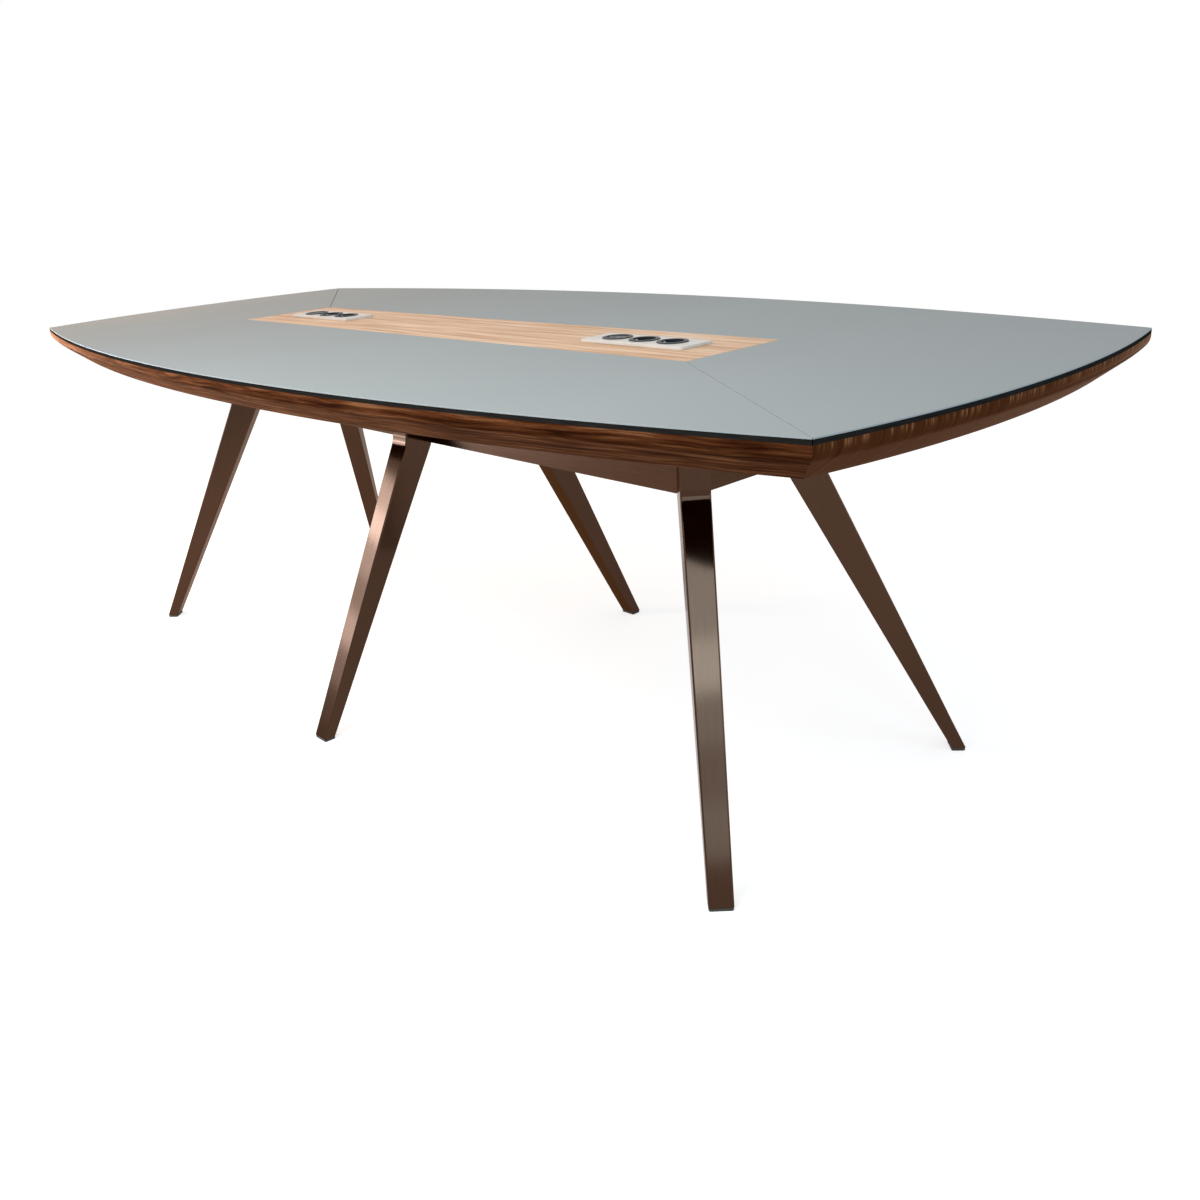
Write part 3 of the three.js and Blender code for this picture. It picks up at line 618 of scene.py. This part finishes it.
def cut_through(bm, low_ring, high_ring, low, high, material=0):
    """Closes a plate top and bottom, with the cutouts for the power housings."""
    bottoms, tops = [], []
    for side in SIDES:
        bottoms.append(add_ring(bm, housing_cutout(side, low)))
        tops.append(add_ring(bm, housing_cutout(side, high)))
        bridge(bm, [bottoms[-1], tops[-1]], material)
    cap(bm, low_ring, *bottoms, material=material)
    cap(bm, high_ring, *tops, material=material)


END_FIGURE_SCALE = 1.5


def map_board(bm, profile, rings, rows):
    """UV maps of the board: "grain", and "edge" as (distance below the crown, 1 on the short ends).

    The two halves of the outline are shifted apart in the grain, so that their figure differs.
    """
    reach = [0.0]
    for before, after in zip(profile, profile[1:]):
        reach.append(reach[-1] + (after - before).length)
    level = {vert: reach[j] for j, ring in enumerate(rings) for vert in ring}
    grain = bm.loops.layers.uv.new("grain")
    edge = bm.loops.layers.uv.new("edge")
    for face in bm.faces:
        for loop in face.loops:
            loop[grain].uv = loop.vert.co.xy
            loop[edge].uv = (reach[-1], 0.0)
    for row in rows:
        for k, face in enumerate(row):
            shift = 1.0 if k < END_STEPS + SIDE_STEPS else 2.0
            for loop in face.loops:
                x, y, _ = loop.vert.co
                up = level[loop.vert]
                loop[grain].uv = (up + shift, y * END_FIGURE_SCALE + shift) if on_end(k) else (x, up + shift)
                loop[edge].uv = (reach[-1] - up, 1.0 if on_end(k) else 0.0)


def make_board():
    low, high = (corner.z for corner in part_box("top_board"))
    profile = board_profile(low, high)
    bm = bmesh.new()
    rings = [add_ring(bm, outline(inset, z)) for inset, z in profile]
    crown = BEVEL_STEPS + MATT_NOSE_STEPS + 1
    rows = bridge(bm, rings[:crown + 1], 1) + bridge(bm, rings[crown:])
    cut_through(bm, rings[0], rings[-1], low, high, 1)
    map_board(bm, profile, rings, rows)
    add_piece("board", bm, [walnut, matt_walnut], ["top_board"])


def make_inlay():
    low, high = (corner.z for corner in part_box("center_inlay"))
    bm = bmesh.new()
    length, width = INLAY_LENGTH - SEAM, INLAY_WIDTH - SEAM
    rings = [add_ring(bm, rectangle(length, width, low))]
    for inset, drop in eased(INLAY_EASE):
        rings.append(add_ring(bm, rectangle(length - 2 * inset, width - 2 * inset, high - drop)))
    bridge(bm, rings)
    cut_through(bm, rings[0], rings[-1], low, high)
    grain = bm.loops.layers.uv.new("grain")
    for face in bm.faces:
        for loop in face.loops:
            loop[grain].uv = (loop.vert.co.x, loop.vert.co.y + loop.vert.co.z)
    add_piece("inlay", bm, [light_veneer], ["center_inlay"])


def line_through(first, second, inset):
    """Line as (normal, reach), moved by inset to the left of its direction."""
    direction = (second - first).normalized()
    normal = Vector((-direction.y, direction.x))
    return normal, normal.dot(first) + inset


def lines_cross(first, second):
    (a, reach_a), (b, reach_b) = first, second
    det = a.x * b.y - a.y * b.x
    return Vector(((reach_a * b.y - a.y * reach_b) / det, (a.x * reach_b - reach_a * b.x) / det))


def line_meets_arc(line, centre, radius, near):
    normal, reach = line
    gap = reach - normal.dot(centre)
    foot = centre + normal * gap
    along = Vector((-normal.y, normal.x)) * math.sqrt(radius ** 2 - gap ** 2)
    return min((foot + along, foot - along), key=lambda point: (point - near).length)


def panel_ring(inner, outer, centre, radius, inset, z, steps):
    """Outline of one panel: from the inlay's corners out along the mitres, and round the arc."""
    clear = SEAM / 2 + inset * MITRE_EASE_SHARE
    mitre_out = line_through(inner[0], outer[0], clear)
    mitre_back = line_through(outer[1], inner[1], clear)
    inner_edge = line_through(inner[1], inner[0], clear)
    reach = radius - inset
    start = line_meets_arc(mitre_out, centre, reach, outer[0]) - centre
    end = line_meets_arc(mitre_back, centre, reach, outer[1]) - centre
    first, last = math.atan2(start.y, start.x), math.atan2(end.y, end.x)
    last += 2 * math.pi if last < first else 0.0
    points = [lines_cross(inner_edge, mitre_out)]
    for step in range(steps + 1):
        angle = first + (last - first) * step / steps
        points.append(centre + Vector((math.cos(angle), math.sin(angle))) * reach)
    points.append(lines_cross(mitre_back, inner_edge))
    return [(x, y, z) for x, y in points]


def make_panel(name, turn, inner, outer, centre, radius, steps):
    """One grey panel, laid out for the side that faces +X or +Y and turned to its place."""
    node = "top_panel_" + name
    low, high = (corner.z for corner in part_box(node))
    bm = bmesh.new()
    layers = [(0.0, low), (0.0, high - LAMINATE_THICKNESS)]
    layers += [(inset, high - drop) for inset, drop in eased(PANEL_EASE)]
    rings = [add_ring(bm, panel_ring(inner, outer, centre, radius, inset, z, steps)) for inset, z in layers]
    bridge(bm, rings[:2], 1)
    bridge(bm, rings[1:], 0)
    cap(bm, rings[0], material=1)
    cap(bm, rings[-1])
    place = Matrix.Rotation(turn, 4, "Z")
    add_piece("panel_" + name, bm, [grey_laminate, dark_core], [node], place=place)


def make_panels():
    """An end panel and a side panel, each laid twice."""
    ix, iy = INLAY_LENGTH / 2, INLAY_WIDTH / 2
    end_inner = Vector((ix, -iy)), Vector((ix, iy))
    end_outer = Vector((CORNER_X, -CORNER_Y)), Vector((CORNER_X, CORNER_Y))
    side_inner = Vector((ix, iy)), Vector((-ix, iy))
    side_outer = Vector((CORNER_X, CORNER_Y)), Vector((-CORNER_X, CORNER_Y))
    for name, turn in (("right", 0.0), ("left", math.pi)):
        make_panel(name, turn, end_inner, end_outer, END_CENTRE, END_RADIUS, END_STEPS)
    for name, turn in (("back", 0.0), ("front", math.pi)):
        make_panel(name, turn, side_inner, side_outer, SIDE_CENTRE, SIDE_RADIUS, SIDE_STEPS)


# Power modules

def make_plate(side):
    node = "power_plate_" + side
    low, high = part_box(node)
    bm = bmesh.new()
    layers = [(0.0, low.z)]
    layers += [(inset, high.z - drop) for inset, drop in eased(PLATE_EASE, WIDE_EASE_STEPS)]
    rings = []
    for inset, z in layers:
        points = rounded_rectangle(low.x + inset, high.x - inset, low.y + inset, high.y - inset,
                                   PLATE_CORNER - inset, z)
        rings.append(add_ring(bm, points))
    bridge(bm, rings)
    bottoms, tops = [], []
    bore = INSERT_BODY / 2 + SEAT_GAP
    for step in (-1, 0, 1):
        x = (low.x + high.x) / 2 + step * INSERT_PITCH
        hole = [add_ring(bm, circle(bore, low.z, x))]
        hole += [add_ring(bm, circle(bore + inset, high.z - drop, x)) for inset, drop in eased(HOLE_EASE)]
        bridge(bm, hole)
        bottoms.append(hole[0])
        tops.append(hole[-1])
    cap(bm, rings[0], *bottoms)
    cap(bm, rings[-1], *tops)
    add_piece("face_plate_" + side, bm, [white_plastic], [node])


def insert_shell(bm, face, bottom, well_depth):
    """Body and rim of an insert. Returns the ring round the floor of its well."""
    rim, body, well = INSERT_RIM / 2, INSERT_BODY / 2, INSERT_WELL / 2
    seat = face - RIM_HEIGHT
    profile = [(0, bottom), (body, bottom), (body, seat), (rim, seat)]
    profile += [(rim - inset, face - drop) for inset, drop in eased(RIM_EASE, WIDE_EASE_STEPS)]
    profile += [(well + inset, face - drop) for inset, drop in reversed(eased(HOLE_EASE))]
    profile.append((well, face - well_depth))
    return turned(bm, profile)[-1]


def pin_hole(bm, y, level):
    """Pin hole with an eased lip and a brass sleeve. Returns the ring of its mouth."""
    radius = PIN_HOLE / 2
    walls = [add_ring(bm, circle(radius + PIN_LIP, level, 0, y, PIN_STEPS)),
             add_ring(bm, circle(radius, level - PIN_LIP, 0, y, PIN_STEPS)),
             add_ring(bm, circle(radius, level - PIN_SLEEVE_TOP, 0, y, PIN_STEPS))]
    bridge(bm, walls)
    sleeve = [walls[-1], add_ring(bm, circle(radius, level - PIN_DEPTH, 0, y, PIN_STEPS))]
    bridge(bm, sleeve, 1)
    cap(bm, sleeve[-1], material=1)
    return walls[0]


def make_socket(side, number):
    """Mains socket: round well with two lined pin holes and two earth clips on its wall."""
    name = "%s_%d" % (side, number)
    node = "power_socket_" + name
    low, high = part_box(node)
    bm = bmesh.new()
    floor = insert_shell(bm, high.z, low.z, SOCKET_DEPTH)
    level = high.z - SOCKET_DEPTH
    holes = [pin_hole(bm, end * PIN_PITCH / 2, level) for end in (-1, 1)]
    cap(bm, floor, *holes)
    place = Matrix.Translation(((low.x + high.x) / 2, 0, 0))
    add_piece("socket_" + name, bm, [black_plastic, brass], [node], place=place)
    make_earth_clips(name, place, level, high.z)


def make_earth_clips(name, place, floor, face):
    """Two bent strips that stand against the wall of a socket's well."""
    bm = bmesh.new()
    wall = INSERT_WELL / 2
    path = [(wall - off, face - below) for off, below in CLIP_UPPER]
    path += [(wall - off, floor + above) for off, above in CLIP_LOWER]
    for sign in (-1, 1):
        tube(bm, [add_ring(bm, rectangle(CLIP_THICKNESS, CLIP_WIDTH, z, sign * x)) for x, z in path])
    add_piece("earth_clips_" + name, bm, [zinc], place=place)


def make_data_insert(side):
    """Data insert: shallow well with a network port and a charging port, each in a metal shield."""
    node = "data_insert_" + side
    low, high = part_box(node)
    bm = bmesh.new()
    floor = insert_shell(bm, high.z, low.z, RIM_HEIGHT)
    level = high.z - RIM_HEIGHT
    holes = []
    for (length, width), x in PORTS:
        walls = [add_ring(bm, rectangle(length, width, z, x)) for z in (level, high.z - PORT_DEPTH)]
        bridge(bm, walls)
        cap(bm, walls[-1])
        holes.append(walls[0])
    cap(bm, floor, *holes)
    place = Matrix.Translation(((low.x + high.x) / 2, 0, 0))
    add_piece("data_" + side, bm, [black_plastic], [node], place=place)
    make_port_metal(side, place, level, high.z - PORT_DEPTH)


def add_shield(bm, port, x, level, floor):
    """Thin lining of a port, with a flat lip round its mouth."""
    length, width = port
    foot, top = floor + PORT_FLOOR_GAP, level + SHIELD_RISE
    profile = ((0.0, foot), (0.0, level), (SHIELD_LIP, level + SHIELD_SEAT), (SHIELD_LIP, top),
               (-SHIELD_WALL, top), (-SHIELD_WALL, foot))
    rings = [add_ring(bm, rectangle(length + 2 * grow, width + 2 * grow, z, x)) for grow, z in profile]
    bridge(bm, rings + rings[:1])


def add_contacts(bm, port_x, level, floor):
    """Spring wires that slope through a network port."""
    path = [(y, level - depth) for y, depth in CONTACT_BENDS]
    path.append((CONTACT_END[0], floor + CONTACT_END[1]))
    for step in range(CONTACT_COUNT):
        x = port_x + (step - (CONTACT_COUNT - 1) / 2) * CONTACT_PITCH
        tube(bm, [add_ring(bm, rectangle(*CONTACT_SIZE, z, x, y)) for y, z in path])


def make_port_metal(side, place, level, floor):
    bm = bmesh.new()
    for port, x in PORTS:
        add_shield(bm, port, x, level, floor)
    add_contacts(bm, -PORT_SPACING / 2, level, floor)
    tongue = (floor + PORT_FLOOR_GAP, level - TONGUE_SETBACK)
    tube(bm, [add_ring(bm, rectangle(*TONGUE_SIZE, z, PORT_SPACING / 2)) for z in tongue])
    add_piece("port_shields_" + side, bm, [zinc], place=place)


def make_gland(side):
    """Cable gland: a neck up through the housing's floor over a round flange."""
    node = "cable_gland_" + side
    low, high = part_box(node)
    bm = bmesh.new()
    bore, neck, rim = GLAND_BORE / 2, GLAND_NECK / 2, GLAND_FLANGE / 2
    flange = low.z + GLAND_FLANGE_THICKNESS
    round_low = [(rim - inset, low.z + drop) for inset, drop in reversed(eased(GLAND_EASE))]
    profile = [(bore + GLAND_CHAMFER, low.z), *round_low, (rim, flange), (neck, flange), (neck, high.z),
               (bore, high.z), (bore, low.z + GLAND_CHAMFER)]
    rings = turned(bm, profile, GLAND_STEPS)
    bridge(bm, [rings[-1], rings[0]])
    place = Matrix.Translation(((low.x + high.x) / 2, (low.y + high.y) / 2, 0))
    add_piece("gland_" + side, bm, [black_plastic], [node], place=place)


# Legs and levellers

class LegFace:
    """Inner or outer face of a leg: upright post, round knee, sloping shank."""

    def __init__(self, post, foot, knee, radius):
        self.post, self.knee, self.radius = post, knee, radius
        self.slope = (foot - post) / (knee - LEG_BOTTOM)
        bend = math.atan(self.slope)
        reach = radius * math.tan(bend / 2)
        self.arc_top = knee + reach
        self.arc_bottom = knee - reach * math.cos(bend)

    def at(self, z):
        if z >= self.arc_top:
            return self.post
        if z <= self.arc_bottom:
            return self.post + self.slope * (self.knee - z)
        return self.post + self.radius - math.sqrt(self.radius ** 2 - (self.arc_top - z) ** 2)


# The photograph shows the outer bend higher than the solid has it
OUTER_FACE = LegFace(POST_DEPTH, FOOT_REACH + FOOT_DEPTH / 2, KNEE_HEIGHT + KNEE_RISE, KNEE_OUTER_RADIUS)
INNER_FACE = LegFace(0.0, FOOT_REACH - FOOT_DEPTH / 2, KNEE_HEIGHT, KNEE_INNER_RADIUS)


def leg_ring(z, inset=0.0, height=None):
    share = min(1.0, (z - LEG_BOTTOM) / (KNEE_HEIGHT - LEG_BOTTOM))
    half = (FOOT_WIDTH + (POST_WIDTH - FOOT_WIDTH) * share) / 2 - inset
    return rounded_rectangle(INNER_FACE.at(z) + inset, OUTER_FACE.at(z) - inset, -half, half,
                             LEG_CORNER, z if height is None else height)


def leg_stand(side, row):
    """Frame of a leg: x runs outward from the inner face of its post."""
    sign_x = {"left": -1, "middle": 0, "right": 1}[row]
    sign_y = -1 if side == "front" else 1
    out = Vector((sign_x * math.sin(END_LEG_TURN), sign_y * (math.cos(END_LEG_TURN) if sign_x else 1.0)))
    setback = CORNER_SETBACK if sign_x else -SEAT_GAP
    spot = Vector((sign_x * RING_X, sign_y * RING_Y)) - out * setback
    return Matrix.Translation((*spot, 0)) @ Matrix.Rotation(math.atan2(out.y, out.x), 4, "Z")


def leg_levels():
    low = INNER_FACE.arc_bottom
    high = OUTER_FACE.arc_top
    levels = [LEG_BOTTOM + (low - LEG_BOTTOM) * k / SHANK_STEPS for k in range(1, SHANK_STEPS)]
    levels += [low + (high - low) * k / KNEE_STEPS for k in range(KNEE_STEPS + 1)]
    return levels + [LEG_TOP]


def map_brush(bm, rings, rows):
    """UV map "brush": u runs round the leg and v up it, in metres."""
    brush = bm.loops.layers.uv.new("brush")
    around = [0.0]
    for first, second in zip(rings[-1], rings[-1][1:] + rings[-1][:1]):
        around.append(around[-1] + (second.co - first.co).length)
    for row in rows:
        for k, face in enumerate(row):
            for loop, step in zip(face.loops, (0, 1, 1, 0)):
                loop[brush].uv = (around[k + step], loop.vert.co.z)


def make_leg(side, row):
    """Leg with eased edges at its foot and a bore for the levelling stud."""
    name = "%s_%s" % (side, row)
    stand = leg_stand(side, row)
    stud_low, stud_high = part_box("leveller_stud_" + name)
    stud = stand.inverted() @ ((stud_low + stud_high) / 2)
    bm = bmesh.new()
    rings = [add_ring(bm, leg_ring(LEG_BOTTOM, inset, LEG_BOTTOM + drop))
             for inset, drop in reversed(eased(FOOT_EASE))]
    rings += [add_ring(bm, leg_ring(z)) for z in leg_levels()]
    rows = bridge(bm, rings)
    cap(bm, rings[-1])
    bore = [add_ring(bm, circle(STUD_BORE / 2, z, stud.x, 0, SHANK_ROUND_STEPS))
            for z in (LEG_BOTTOM, LEG_BOTTOM + STUD_LENGTH)]
    bridge(bm, bore)
    cap(bm, bore[1])
    cap(bm, rings[0], bore[0])
    map_brush(bm, rings, rows)
    add_piece("leg_tube_" + name, bm, [leg_steel], ["leg_" + name], place=stand)


def make_bolt(side, row, level):
    """Hexagon bolt through the frame into the leg, with a chamfered head."""
    name = "%s_%s_%s" % (side, row, level)
    node = "leg_bolt_" + name
    low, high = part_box(node)
    stand = leg_stand(side, row)
    corners = [stand.inverted() @ vert.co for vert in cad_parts[node].data.vertices]
    start = min(corner.x for corner in corners)
    tip = max(corner.x for corner in corners)
    bm = bmesh.new()
    across = BOLT_HEAD_ACROSS / 2 / math.cos(math.pi / HEXAGON)
    head = [add_ring(bm, circle(across * share, start + z, steps=HEXAGON)) for share, z in BOLT_HEAD_PROFILE]
    bridge(bm, head)
    cap(bm, head[0])
    radius = BOLT_DIAMETER / 2
    layers = ((radius, start + BOLT_HEAD_HEIGHT), (radius, tip - BOLT_TIP_CHAMFER),
              (radius - BOLT_TIP_CHAMFER, tip))
    shank = [add_ring(bm, circle(size, z, steps=SHANK_ROUND_STEPS)) for size, z in layers]
    bridge(bm, shank)
    cap(bm, head[-1], shank[0])
    cap(bm, shank[-1])
    along_x = Matrix.Rotation(math.pi / 2, 4, "Y")
    place = stand @ Matrix.Translation((0, 0, (low.z + high.z) / 2)) @ along_x
    add_piece("bolt_" + name, bm, [zinc], [node], place=place)


def thread_ring(z):
    """Section through a thread whose crest climbs one pitch in each turn."""
    points = []
    for k in range(THREAD_STEPS):
        phase = (z / THREAD_PITCH + k / THREAD_STEPS) % 1.0
        radius = STUD_DIAMETER / 2 - THREAD_DEPTH * abs(2 * phase - 1)
        angle = 2 * math.pi * k / THREAD_STEPS
        points.append((radius * math.cos(angle), radius * math.sin(angle), z))
    return points


def make_stud(side, row):
    """Levelling stud: collar in the pad and a threaded shank up into the foot."""
    name = "%s_%s" % (side, row)
    low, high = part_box("leveller_stud_" + name)
    bm = bmesh.new()
    collar = STUD_COLLAR / 2
    turned(bm, [(0, STUD_COLLAR_LOW), (collar, STUD_COLLAR_LOW), (collar, STUD_COLLAR_HIGH - COLLAR_CHAMFER),
                (collar - COLLAR_CHAMFER, STUD_COLLAR_HIGH),
                (STUD_DIAMETER / 2 - THREAD_DEPTH, STUD_COLLAR_HIGH)], COLLAR_STEPS)
    rise = high.z - STUD_COLLAR_HIGH
    count = int(rise / THREAD_PITCH * THREAD_LEVELS)
    rings = [add_ring(bm, thread_ring(STUD_COLLAR_HIGH + rise * j / count)) for j in range(count + 1)]
    bridge(bm, rings)
    cap(bm, rings[-1])
    place = Matrix.Translation(((low.x + high.x) / 2, (low.y + high.y) / 2, 0))
    add_piece("stud_" + name, bm, [zinc], ["leveller_stud_" + name], "leveller_" + name, place)


def dress_node(node, material, width):
    """A CAD solid that stays: its edges are eased and it takes a material."""
    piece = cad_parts[node]
    piece.data.materials.clear()
    piece.data.materials.append(material)
    weld = piece.modifiers.new("weld", "WELD")
    weld.merge_threshold = WELD_DISTANCE
    bevel = piece.modifiers.new("eased_edges", "BEVEL")
    bevel.width = width
    bevel.segments = EASE_STEPS
    bevel.limit_method = "ANGLE"
    bevel.angle_limit = EASED_ANGLE
    bevel.harden_normals = True


def dress_nodes():
    for side in ("front", "back"):
        dress_node("side_rail_" + side, rail_steel_x, RAIL_EASE)
        dress_node("leg_backing_plate_" + side, dark_steel, SMALL_EASE)
        for end in SIDES:
            dress_node("corner_plate_%s_%s" % (side, end), dark_steel, SMALL_EASE)
    for side in SIDES:
        dress_node("end_rail_" + side, rail_steel_y, RAIL_EASE)
        dress_node("power_housing_" + side, black_plastic, SMALL_EASE)
    dress_node("center_cross_rail", rail_steel_y, RAIL_EASE)
    for side, row in LEG_PLACES:
        dress_node("leveller_pad_%s_%s" % (side, row), pad_nylon, SMALL_EASE)


# Stage

FLOOR_HALF = 40.0
FLOOR_COLOUR = (0.62, 0.62, 0.62, 1.0)
FLOOR_GLOW = 0.715
ROOM_LIGHT = 0.46


def seen_ray(tree):
    """1 for rays from the camera, from a glossy surface or through a clear one, else 0."""
    path = tree.nodes.new("ShaderNodeLightPath")
    total = path.outputs["Is Camera Ray"]
    for name in ("Is Glossy Ray", "Is Transmission Ray"):
        both = tree.nodes.new("ShaderNodeMath")
        both.operation = "MAXIMUM"
        tree.links.new(total, both.inputs[0])
        tree.links.new(path.outputs[name], both.inputs[1])
        total = both.outputs[0]
    return total


def floor_material():
    material = bpy.data.materials.new("studio_floor")
    material.use_nodes = True
    tree = material.node_tree
    tree.nodes.remove(tree.nodes["Principled BSDF"])
    diffuse = tree.nodes.new("ShaderNodeBsdfDiffuse")
    diffuse.inputs["Color"].default_value = FLOOR_COLOUR
    glow = tree.nodes.new("ShaderNodeEmission")
    level = tree.nodes.new("ShaderNodeMath")
    level.operation = "MULTIPLY"
    level.inputs[1].default_value = FLOOR_GLOW
    tree.links.new(seen_ray(tree), level.inputs[0])
    tree.links.new(level.outputs[0], glow.inputs["Strength"])
    both = tree.nodes.new("ShaderNodeAddShader")
    tree.links.new(diffuse.outputs[0], both.inputs[0])
    tree.links.new(glow.outputs[0], both.inputs[1])
    tree.links.new(both.outputs[0], tree.nodes["Material Output"].inputs["Surface"])
    return material


def make_floor():
    bm = bmesh.new()
    cap(bm, add_ring(bm, rectangle(2 * FLOOR_HALF, 2 * FLOOR_HALF, 0.0)))
    mesh = bpy.data.meshes.new("floor")
    bm.to_mesh(mesh)
    bm.free()
    mesh.materials.append(floor_material())
    floor = bpy.data.objects.new("floor", mesh)
    bpy.context.scene.collection.objects.link(floor)


def make_world():
    world = bpy.data.worlds.new("studio")
    bpy.context.scene.world = world
    world.use_nodes = True
    tree = world.node_tree
    level = tree.nodes.new("ShaderNodeMapRange")
    level.inputs["To Min"].default_value = ROOM_LIGHT
    level.inputs["To Max"].default_value = 1.0
    tree.links.new(seen_ray(tree), level.inputs["Value"])
    background = tree.nodes["Background"]
    background.inputs["Color"].default_value = (1.0, 1.0, 1.0, 1.0)
    tree.links.new(level.outputs["Result"], background.inputs["Strength"])


def add_softbox(name, spot, target, size, power, colour=WHITE):
    light = bpy.data.lights.new(name, "AREA")
    light.shape = "RECTANGLE"
    light.size, light.size_y = size
    light.energy = power
    light.color = colour
    lamp = bpy.data.objects.new(name, light)
    bpy.context.scene.collection.objects.link(lamp)
    lamp.visible_camera = False
    lamp.location = spot
    lamp.rotation_mode = "QUATERNION"
    lamp.rotation_quaternion = (Vector(target) - Vector(spot)).to_track_quat("-Z", "Y")
    return lamp


# Colours of the lamps
WARM = (1.0, 0.52, 0.24)
PALE = (1.0, 0.85, 0.72)
CLEAR = (0.53, 0.72, 1.0)
COOL = (0.44, 0.75, 1.0)
SKY = (0.66, 0.86, 1.0)

# Lights that the legs mirror: stacked bands, each (bottom, top, brightness)
CARD_SPOT = (-0.995, -1.243)
CARD_AIM = (0.0, -0.30)
CARD_LEAN = 0.498
CARD_WIDTH = 0.52
CARD_BANDS = ((0.127, 0.222, 0.8), (0.222, 0.332, 4.6), (0.332, 0.437, 15.0), (0.437, 0.527, 6.4),
              (0.527, 0.627, 11.6), (0.632, 0.727, 30.0), (0.727, 0.817, 17.0))
STRIP_SPOT = (3.20, -2.01)
STRIP_AIM = (0.85, -0.25)
STRIP_LEAN = 0.0
STRIP_WIDTH = 0.8
STRIP_BANDS = ((1.00, 1.24, 3.0), (1.24, 1.495, 2.0), (1.495, 1.72, 3.6), (1.73, 2.01, 10.2),
               (2.015, 2.505, 5.8))


def add_banded(name, spot, aim, lean, width, bands, colour):
    """A tall light of stacked bands, which leans along Y as it rises."""
    lamps = []
    for number, (low, high, brightness) in enumerate(bands):
        z = (low + high) / 2
        size = (width, high - low)
        power = brightness * math.pi * size[0] * size[1]
        place = (spot[0], spot[1] + lean * z, z)
        lamps.append(add_softbox("%s_%d" % (name, number), place, (*aim, z), size, power, colour))
    return lamps


def make_lights():
    add_softbox("key", spot=(0.4, -1.5, 1.8), target=(0.4, -0.1, 0.72), size=(1.6, 0.9), power=23.5)
    left_high = add_softbox("left_high", spot=(-2.3, -0.3, 1.4), target=(-0.9, -0.2, 0.75), size=(0.8, 0.5),
                            power=18.0, colour=WARM)
    left_front = add_softbox("left_front", spot=(-1.75, -1.45, 0.55), target=(-0.9, -0.45, 0.70),
                             size=(0.8, 0.4), power=31.0, colour=PALE)
    for lamp in (left_high, left_front):
        lamp.visible_glossy = False
    add_softbox("right_fill", spot=(3.4, 0.9, 0.8), target=(1.1, 0.1, 0.70), size=(1.6, 1.0), power=15.0,
                colour=SKY)
    add_banded("strip", STRIP_SPOT, STRIP_AIM, STRIP_LEAN, STRIP_WIDTH, STRIP_BANDS, COOL)
    for lamp in add_banded("card", CARD_SPOT, CARD_AIM, CARD_LEAN, CARD_WIDTH, CARD_BANDS, CLEAR):
        lamp.visible_diffuse = False


# Camera fitted to the photograph: focal length and axis in pixels of the 1200-pixel image
IMAGE_SIZE = 1200
FOCAL_PIXELS = 1133.18
AXIS_PIXEL = (540.53, 603.89)
CAMERA_SPOT = (1.8556, -1.4115, 1.0325)
CAMERA_AZIMUTH = math.radians(49.94)
CAMERA_ELEVATION = math.radians(20.85)
CAMERA_ROLL = math.radians(-4.15)
SENSOR_WIDTH = 36.0


def make_camera():
    data = bpy.data.cameras.new("camera")
    data.sensor_width = SENSOR_WIDTH
    data.lens = FOCAL_PIXELS / IMAGE_SIZE * SENSOR_WIDTH
    data.shift_x = 0.5 - AXIS_PIXEL[0] / IMAGE_SIZE
    data.shift_y = AXIS_PIXEL[1] / IMAGE_SIZE - 0.5
    data.clip_end = 4 * FLOOR_HALF
    level = math.cos(CAMERA_ELEVATION)
    back = Vector((math.sin(CAMERA_AZIMUTH) * level, -math.cos(CAMERA_AZIMUTH) * level,
                   math.sin(CAMERA_ELEVATION)))
    right = (-back).cross(Vector((0, 0, 1))).normalized()
    up = back.cross(right)
    rolled_right = right * math.cos(CAMERA_ROLL) + up * math.sin(CAMERA_ROLL)
    rolled_up = up * math.cos(CAMERA_ROLL) - right * math.sin(CAMERA_ROLL)
    camera = bpy.data.objects.new("camera", data)
    bpy.context.scene.collection.objects.link(camera)
    turn = Matrix((rolled_right, rolled_up, back)).transposed().to_4x4()
    camera.matrix_world = Matrix.Translation(CAMERA_SPOT) @ turn
    bpy.context.scene.camera = camera


make_camera()
make_board()
make_inlay()
make_panels()
for side in SIDES:
    make_plate(side)
    make_data_insert(side)
    make_socket(side, 1)
    make_socket(side, 2)
    make_gland(side)
for side, row in LEG_PLACES:
    make_leg(side, row)
    make_bolt(side, row, "lower")
    make_bolt(side, row, "upper")
    make_stud(side, row)
dress_nodes()
make_floor()
make_world()
make_lights()
bpy.context.scene.view_settings.view_transform = "Standard"
